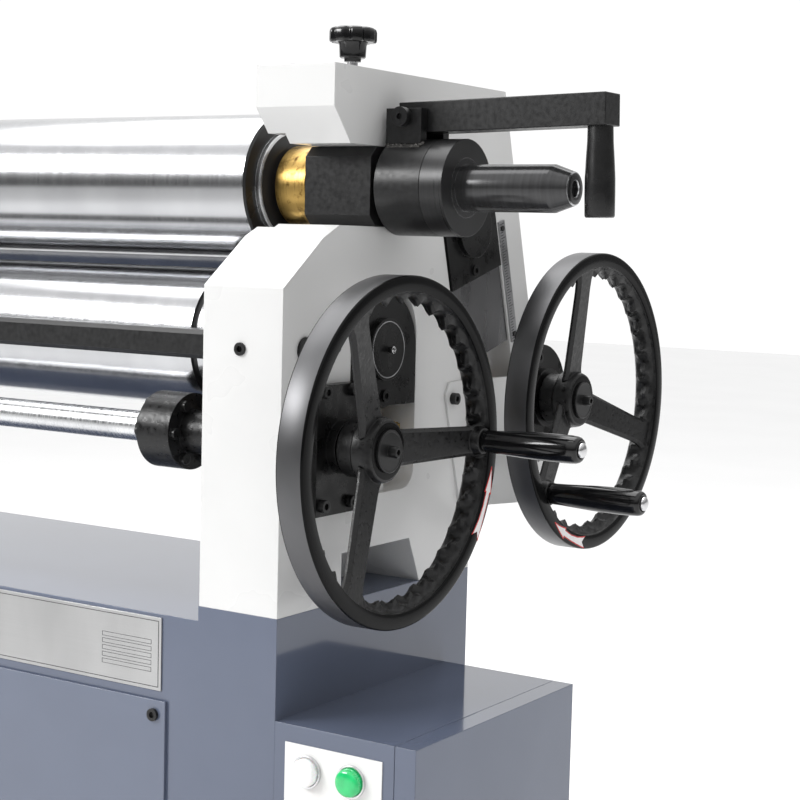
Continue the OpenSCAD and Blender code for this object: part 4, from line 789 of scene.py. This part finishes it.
def rim_section(angle):
    """Points of the rim's section at an angle: place along X and radius."""
    r = RIM_R
    inner = RIM_INNER
    wave = scallop(angle)
    skew = scallop(angle + 0.3 * TAU / GRIP_WAVES)
    x0 = RIM_X0
    x1 = RIM_X1
    return [
        (x0 + 0.9 * MM, r - 0.3 * MM), (x0 + 1.8 * MM, r), (x1 - 1.8 * MM, r), (x1 - 0.9 * MM, r - 0.3 * MM),
        (x1 - 0.3 * MM, r - 0.9 * MM), (x1, r - 1.8 * MM), (x1, inner + 1.2 * MM),
        (x1 - 0.4 * MM, inner + 0.4 * MM), (x1 - 1.4 * MM, inner), (x1 - 4.0 * MM, inner - 0.4 * MM),
        (x1 - 6.0 * MM, inner - 1.2 * MM - 1.5 * MM * wave),
        (x1 - 7.6 * MM, inner - 2.4 * MM - GRIP_DEPTH * 0.62 * wave),
        (x1 - 10.5 * MM, inner - 3.0 * MM - GRIP_DEPTH * 0.95 * wave),
        (x1 - 14.5 * MM, inner - 3.0 * MM - GRIP_DEPTH * (0.7 * wave + 0.3 * skew)),
        (x1 - 19.0 * MM, inner - 2.6 * MM - GRIP_DEPTH * 0.85 * skew),
        (x1 - 23.5 * MM, inner - 2.0 * MM - GRIP_DEPTH * 0.5 * skew),
        (x0 + 2.0 * MM, inner - 0.4 * MM - 1.6 * MM * skew),
        (x0 + 0.4 * MM, inner + 1.6 * MM), (x0, inner + 3.4 * MM), (x0, r - 1.8 * MM),
    ]


def wheel_rim(bm):
    """The rim: turned outside, smooth on its face and rough inside."""
    count = GRIP_WAVES * STEPS_PER_WAVE
    rings = []
    for i in range(count):
        a = TAU * i / count
        rings.append([bm.verts.new(polar(r, a, x)) for x, r in rim_section(a)])
    size = len(rings[0])
    for i in range(count):
        here, there = rings[i], rings[(i + 1) % count]
        for k in range(size):
            m = (k + 1) % size
            face = bm.faces.new((here[k], here[m], there[m], there[k]))
            smooth = k < RIM_FACE_POINTS or k == size - 1
            face.material_index = 2 if k == 1 else 0 if smooth else 1


def spoke_front(radius):
    """Where a dished spoke's front face stands along X."""
    return (56 + 24 * (radius - 25) / 120) * MM


def wheel_spoke(bm, angle):
    """A flat dished spoke that flares where it meets the hub and the rim."""
    loops = []
    for radius, half in SPOKE_LEGS:
        w = half * MM
        x1 = spoke_front(radius)
        x0 = x1 - SPOKE_THICK
        shoulder = x1 - SPOKE_BEVEL_DEEP
        flat = w - SPOKE_BEVEL_WIDE
        back = SPOKE_BACK_EDGE
        section = [(x0, -w + back), (x0, w - back), (x0 + back, w), (shoulder, w), (x1, flat), (x1, -flat),
                   (shoulder, -w), (x0 + back, -w)]
        loops.append([Vector((x, radius * MM, y)) for x, y in section])
    before = set(bm.verts)
    loft(bm, loops, material=1)
    made = [v for v in bm.verts if v not in before]
    bmesh.ops.rotate(bm, verts=made, cent=(0, 0, 0), matrix=Matrix.Rotation(angle, 3, "X"))


def in_mm(profile):
    """A profile's lengths, from millimetres."""
    return [(x * MM, r * MM, m) for x, r, m in profile]


def handwheel(name, body, at, angle, node_name):
    """Rim, spokes, hub, and the lump at the rim that the handle stands on."""
    bm = bmesh.new()
    wheel_rim(bm)
    for i in range(SPOKES):
        wheel_spoke(bm, angle + i * TAU / SPOKES)
    lathe(bm, in_mm(HUB), Vector(), steps=96, closed=True)
    lathe(bm, in_mm(BOSS), polar(HANDLE_RING, angle), steps=48)
    bm.transform(Matrix.Translation(at))
    place(name, bm, [RIM_BLACK, CAST_BLACK, RIM_TURNED], body, [node_name], sharp=28)


def socket_head(bm, x, centre, radius, height, hex_r):
    """A socket cap head that stands on a plane at x, with a hexagon recess."""
    steps = 48
    profile = [(x, radius, 0), (x + height * 0.85, radius, 0), (x + height, radius * 0.88, 0),
               (x + height, hex_r * 1.12, 0)]
    lip = lathe(bm, profile, centre, steps=steps)[-1]
    top = []
    low = []
    for vert in lip:
        out = vert.co - centre
        a = math.atan2(out.z, out.y)
        reach = hex_r * math.cos(math.pi / 6) / math.cos((a % (math.pi / 3)) - math.pi / 6)
        top.append(bm.verts.new(centre + polar(reach, a, x + height)))
        low.append(bm.verts.new(centre + polar(reach, a, x + height * 0.35)))
    for k in range(steps):
        m = (k + 1) % steps
        bm.faces.new((lip[k], lip[m], top[m], top[k]))
        bm.faces.new((top[k], top[m], low[m], low[k]))
    bm.faces.new(low)


def wheel_hardware(name, body, at, angle, node_name):
    """Washer disc, its socket screw, and the stud with its domed end."""
    bm = bmesh.new()
    lathe(bm, in_mm(WASHER), Vector(), steps=96)
    socket_head(bm, WASHER[-1][0] * MM, Vector(), radius=5.5 * MM, height=8.8 * MM, hex_r=2.9 * MM)
    tip = hi(node_name).x - FACE_X
    stud = in_mm([(64, 0, 1), (64, 5.9, 1)]) + [(tip - back * MM, r * MM, 1) for back, r in STUD_DOME]
    lathe(bm, stud, polar(HANDLE_RING, angle), steps=48)
    bm.transform(Matrix.Translation(at))
    place(name, bm, [OXIDE, BRIGHT_STEEL], body, [node_name])


def handle(name, body, at, angle, node_name):
    """Revolving handle: it swells from its root and is rounded and hollowed at its end."""
    x0 = lo(node_name).x - FACE_X
    x1 = hi(node_name).x - FACE_X
    length = x1 - x0
    profile = [(x0 + 0.3 * MM, HANDLE_BORE, 0)] + [(x0 + length * s, r * MM, 0) for s, r in HANDLE]
    profile.append((x1 - 0.03 * length, HANDLE_BORE, 0))
    turned(name, profile, at + polar(HANDLE_RING, angle), [GLOSS_BLACK], body, "black_plastic", [node_name],
           steps=64)


def arrow_points(start, end, bands):
    """Edge of a curved arrow on the rim's face: the head points to the start angle."""
    span = end - start
    middle = RIM_R - RIM_FACE * 0.5
    outer, inner = [], []
    for share, half in bands:
        a = start + span * share
        outer.append(polar(middle + half * MM, a))
        inner.append(polar(middle - half * MM, a))
    notch = polar(middle, start + span * 0.9)
    return outer + [notch] + list(reversed(inner))


def sticker(name, body, at, start, end):
    """A curved arrow with a red edge on the rim's face."""
    layers = ((ARROW_WIDE, RED, 0.15), (ARROW_NARROW, STICKER_WHITE, 0.3))
    for layer, (bands, finish, lift) in enumerate(layers):
        bm = bmesh.new()
        base = at + Vector((RIM_X1, 0, 0))
        points = arrow_points(start, end, bands)
        low = [bm.verts.new(base + p) for p in points]
        top = [bm.verts.new(base + p + Vector((lift * MM, 0, 0))) for p in points]
        count = len(points)
        for k in range(count):
            m = (k + 1) % count
            bm.faces.new((low[k], low[m], top[m], top[k]))
        bm.faces.new(top)
        bm.faces.new(list(reversed(low)))
        place(f"{name}_{layer + 1}", bm, [finish], body)


def rest_angle(joint, wheel_joint):
    """Angle of a handle about its wheel's axis."""
    offset = pivot(joint) - pivot(wheel_joint)
    return math.atan2(offset.z, offset.y)


def both_wheels():
    """Both handwheels with their hardware, handles and arrows."""
    for side, arrow in ARROWS.items():
        body = side + "_wheel"
        at = pivot(side + "_wheel_turn")
        at.x = FACE_X
        angle = rest_angle(side + "_handle_spin", side + "_wheel_turn")
        handwheel(side + "_wheel_cast", body, at, angle, side + "_handwheel")
        wheel_hardware(side + "_wheel_hardware", body, at, angle, side + "_wheel_bolts")
        handle(side + "_handle_turned", side + "_grip", at, angle, side + "_handle")
        first, second = (math.radians(a) for a in arrow)
        sticker(side + "_arrow", body, at, first, second)


both_wheels()


# Control box and base trim

def ribbed_lens(name, x, z, finish, y_face, radius):
    """A pilot lamp's domed lens with ribs round its side."""
    bm = bmesh.new()
    levels = [(0, 0.92), (1.5, 0.96), (6.5, 0.94), (8.2, 0.90), (9.4, 0.82), (10.2, 0.66), (10.7, 0.42),
              (10.9, 0.2)]
    count = 144
    ribs = 36
    loops = []
    for depth, share in levels:
        ring = []
        side = 1 if depth < 9 else 0
        for i in range(count):
            a = TAU * i / count
            r = radius * share * (1 + 0.018 * side * math.cos(ribs * a))
            ring.append(Vector((x + r * math.cos(a), y_face - depth * MM, z + r * math.sin(a))))
        loops.append(ring)
    loft(bm, loops)
    return place(name, bm, [finish], "base", sharp=60)


def lamps():
    """The white and the green pilot lamp."""
    low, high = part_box("pilot_lenses")
    radius = (high.z - low.z) / 2
    z = (high.z + low.z) / 2
    white = ribbed_lens("lamp_white", low.x + radius, z, CLEAR_LENS, high.y, radius)
    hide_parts("pilot_lenses")
    ribbed_lens("lamp_green", high.x - radius, z, GREEN_LENS, high.y, radius)


def thin_frame(bm, low, high, y0, y1, width):
    """A raised line round a rectangle that faces the operator."""
    (x0, z0), (x1, z1) = low, high
    bar(bm, (x0, y0, z0), (x1, y1, z0 + width))
    bar(bm, (x0, y0, z1 - width), (x1, y1, z1))
    bar(bm, (x0, y0, z0 + width), (x0 + width, y1, z1 - width))
    bar(bm, (x1 - width, y0, z0 + width), (x1, y1, z1 - width))


def nameplate_lines():
    """A border and a few empty boxes on the bare plate."""
    low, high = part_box("nameplate")
    inset = 3 * MM
    line = 0.7 * MM
    y1 = low.y
    y0 = low.y - 0.15 * MM
    bm = bmesh.new()
    thin_frame(bm, (low.x + inset, low.z + inset), (high.x - inset, high.z - inset), y0, y1, line)
    rows = 5
    pitch = 6.6 * MM
    top = high.z - 22 * MM
    for i in range(rows):
        z = top - i * pitch
        thin_frame(bm, (high.x - 74 * MM, z - 4.4 * MM), (high.x - 12 * MM, z), y0, y1, 0.4 * MM)
    place("nameplate_lines", bm, [INK], "base")


CAP_RING_R = 27 * MM
CAP_RING_TUBE = 0.55 * MM


def cap_edge_highlight():
    """A bright steel bead round the front bearing cap's disc, a painted highlight on the edge of its groove,
    and a bright end on its nipple.
    """
    cap = [v.co for v in frame["nodes"]["front_bearing_cap"].data.vertices]
    out = [(math.hypot(p.y - FRONT_ROLL.y, p.z - FRONT_ROLL.z), p.x) for p in cap]
    face_x = max(x for r, x in out if r > 20 * MM)
    nipple_r = max(r for r, x in out if x > face_x + 1 * MM) + 0.2 * MM
    tip = hi("front_bearing_cap").x
    at = Vector((0, FRONT_ROLL.y, FRONT_ROLL.z))
    ring = []
    for i in range(8):
        a = TAU * i / 8
        ring.append((face_x + CAP_RING_TUBE * math.cos(a), CAP_RING_R + CAP_RING_TUBE * math.sin(a), 0))
    # The bead is a painted highlight: bright steel where the cap's groove edge catches the light
    turned("cap_edge_highlight", ring, at, [GROUND_STEEL], "front_carriage", "steel", closed=True)
    end = [(tip - 2.4 * MM, 0, 0), (tip - 2.4 * MM, nipple_r, 0), (tip - 0.8 * MM, nipple_r + 0.3 * MM, 0),
           (tip, nipple_r * 0.8, 0), (tip + 0.4 * MM, nipple_r * 0.3, 0), (tip + 0.4 * MM, 0, 0)]
    turned("cap_nipple", end, at, [BRIGHT_STEEL], "front_carriage", "steel", steps=32)


TICKS = 44
TICK_START = 12 * MM
TICK_PITCH = 3 * MM
LONG_TICK = 9 * MM
SHORT_TICK = 5.5 * MM
TICKS_ACROSS = 56 * MM


def scale_ticks():
    """Graduation on the steel scales beside the rear slides."""
    low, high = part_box("slide_scales")
    wide = SLIDE_UP * 0.5 * MM
    bm = bmesh.new()
    for end, side in ((high.x, 1), (low.x, -1)):
        for i in range(TICKS):
            down = TICK_START + i * TICK_PITCH
            length = LONG_TICK if i % 5 == 0 else SHORT_TICK
            first = REAR_ROLL - SLIDE_UP * down + SLIDE_ACROSS * TICKS_ACROSS
            last = first + SLIDE_ACROSS * length
            corners = [first - wide, last - wide, last + wide, first + wide]
            depths = (-0.05 * MM, 0.12 * MM)
            loft(bm, [[Vector((end + side * t, c.y, c.z)) for c in corners] for t in depths])
    place("scale_ticks", bm, [INK], "base")


lamps()
nameplate_lines()
scale_ticks()
cap_edge_highlight()
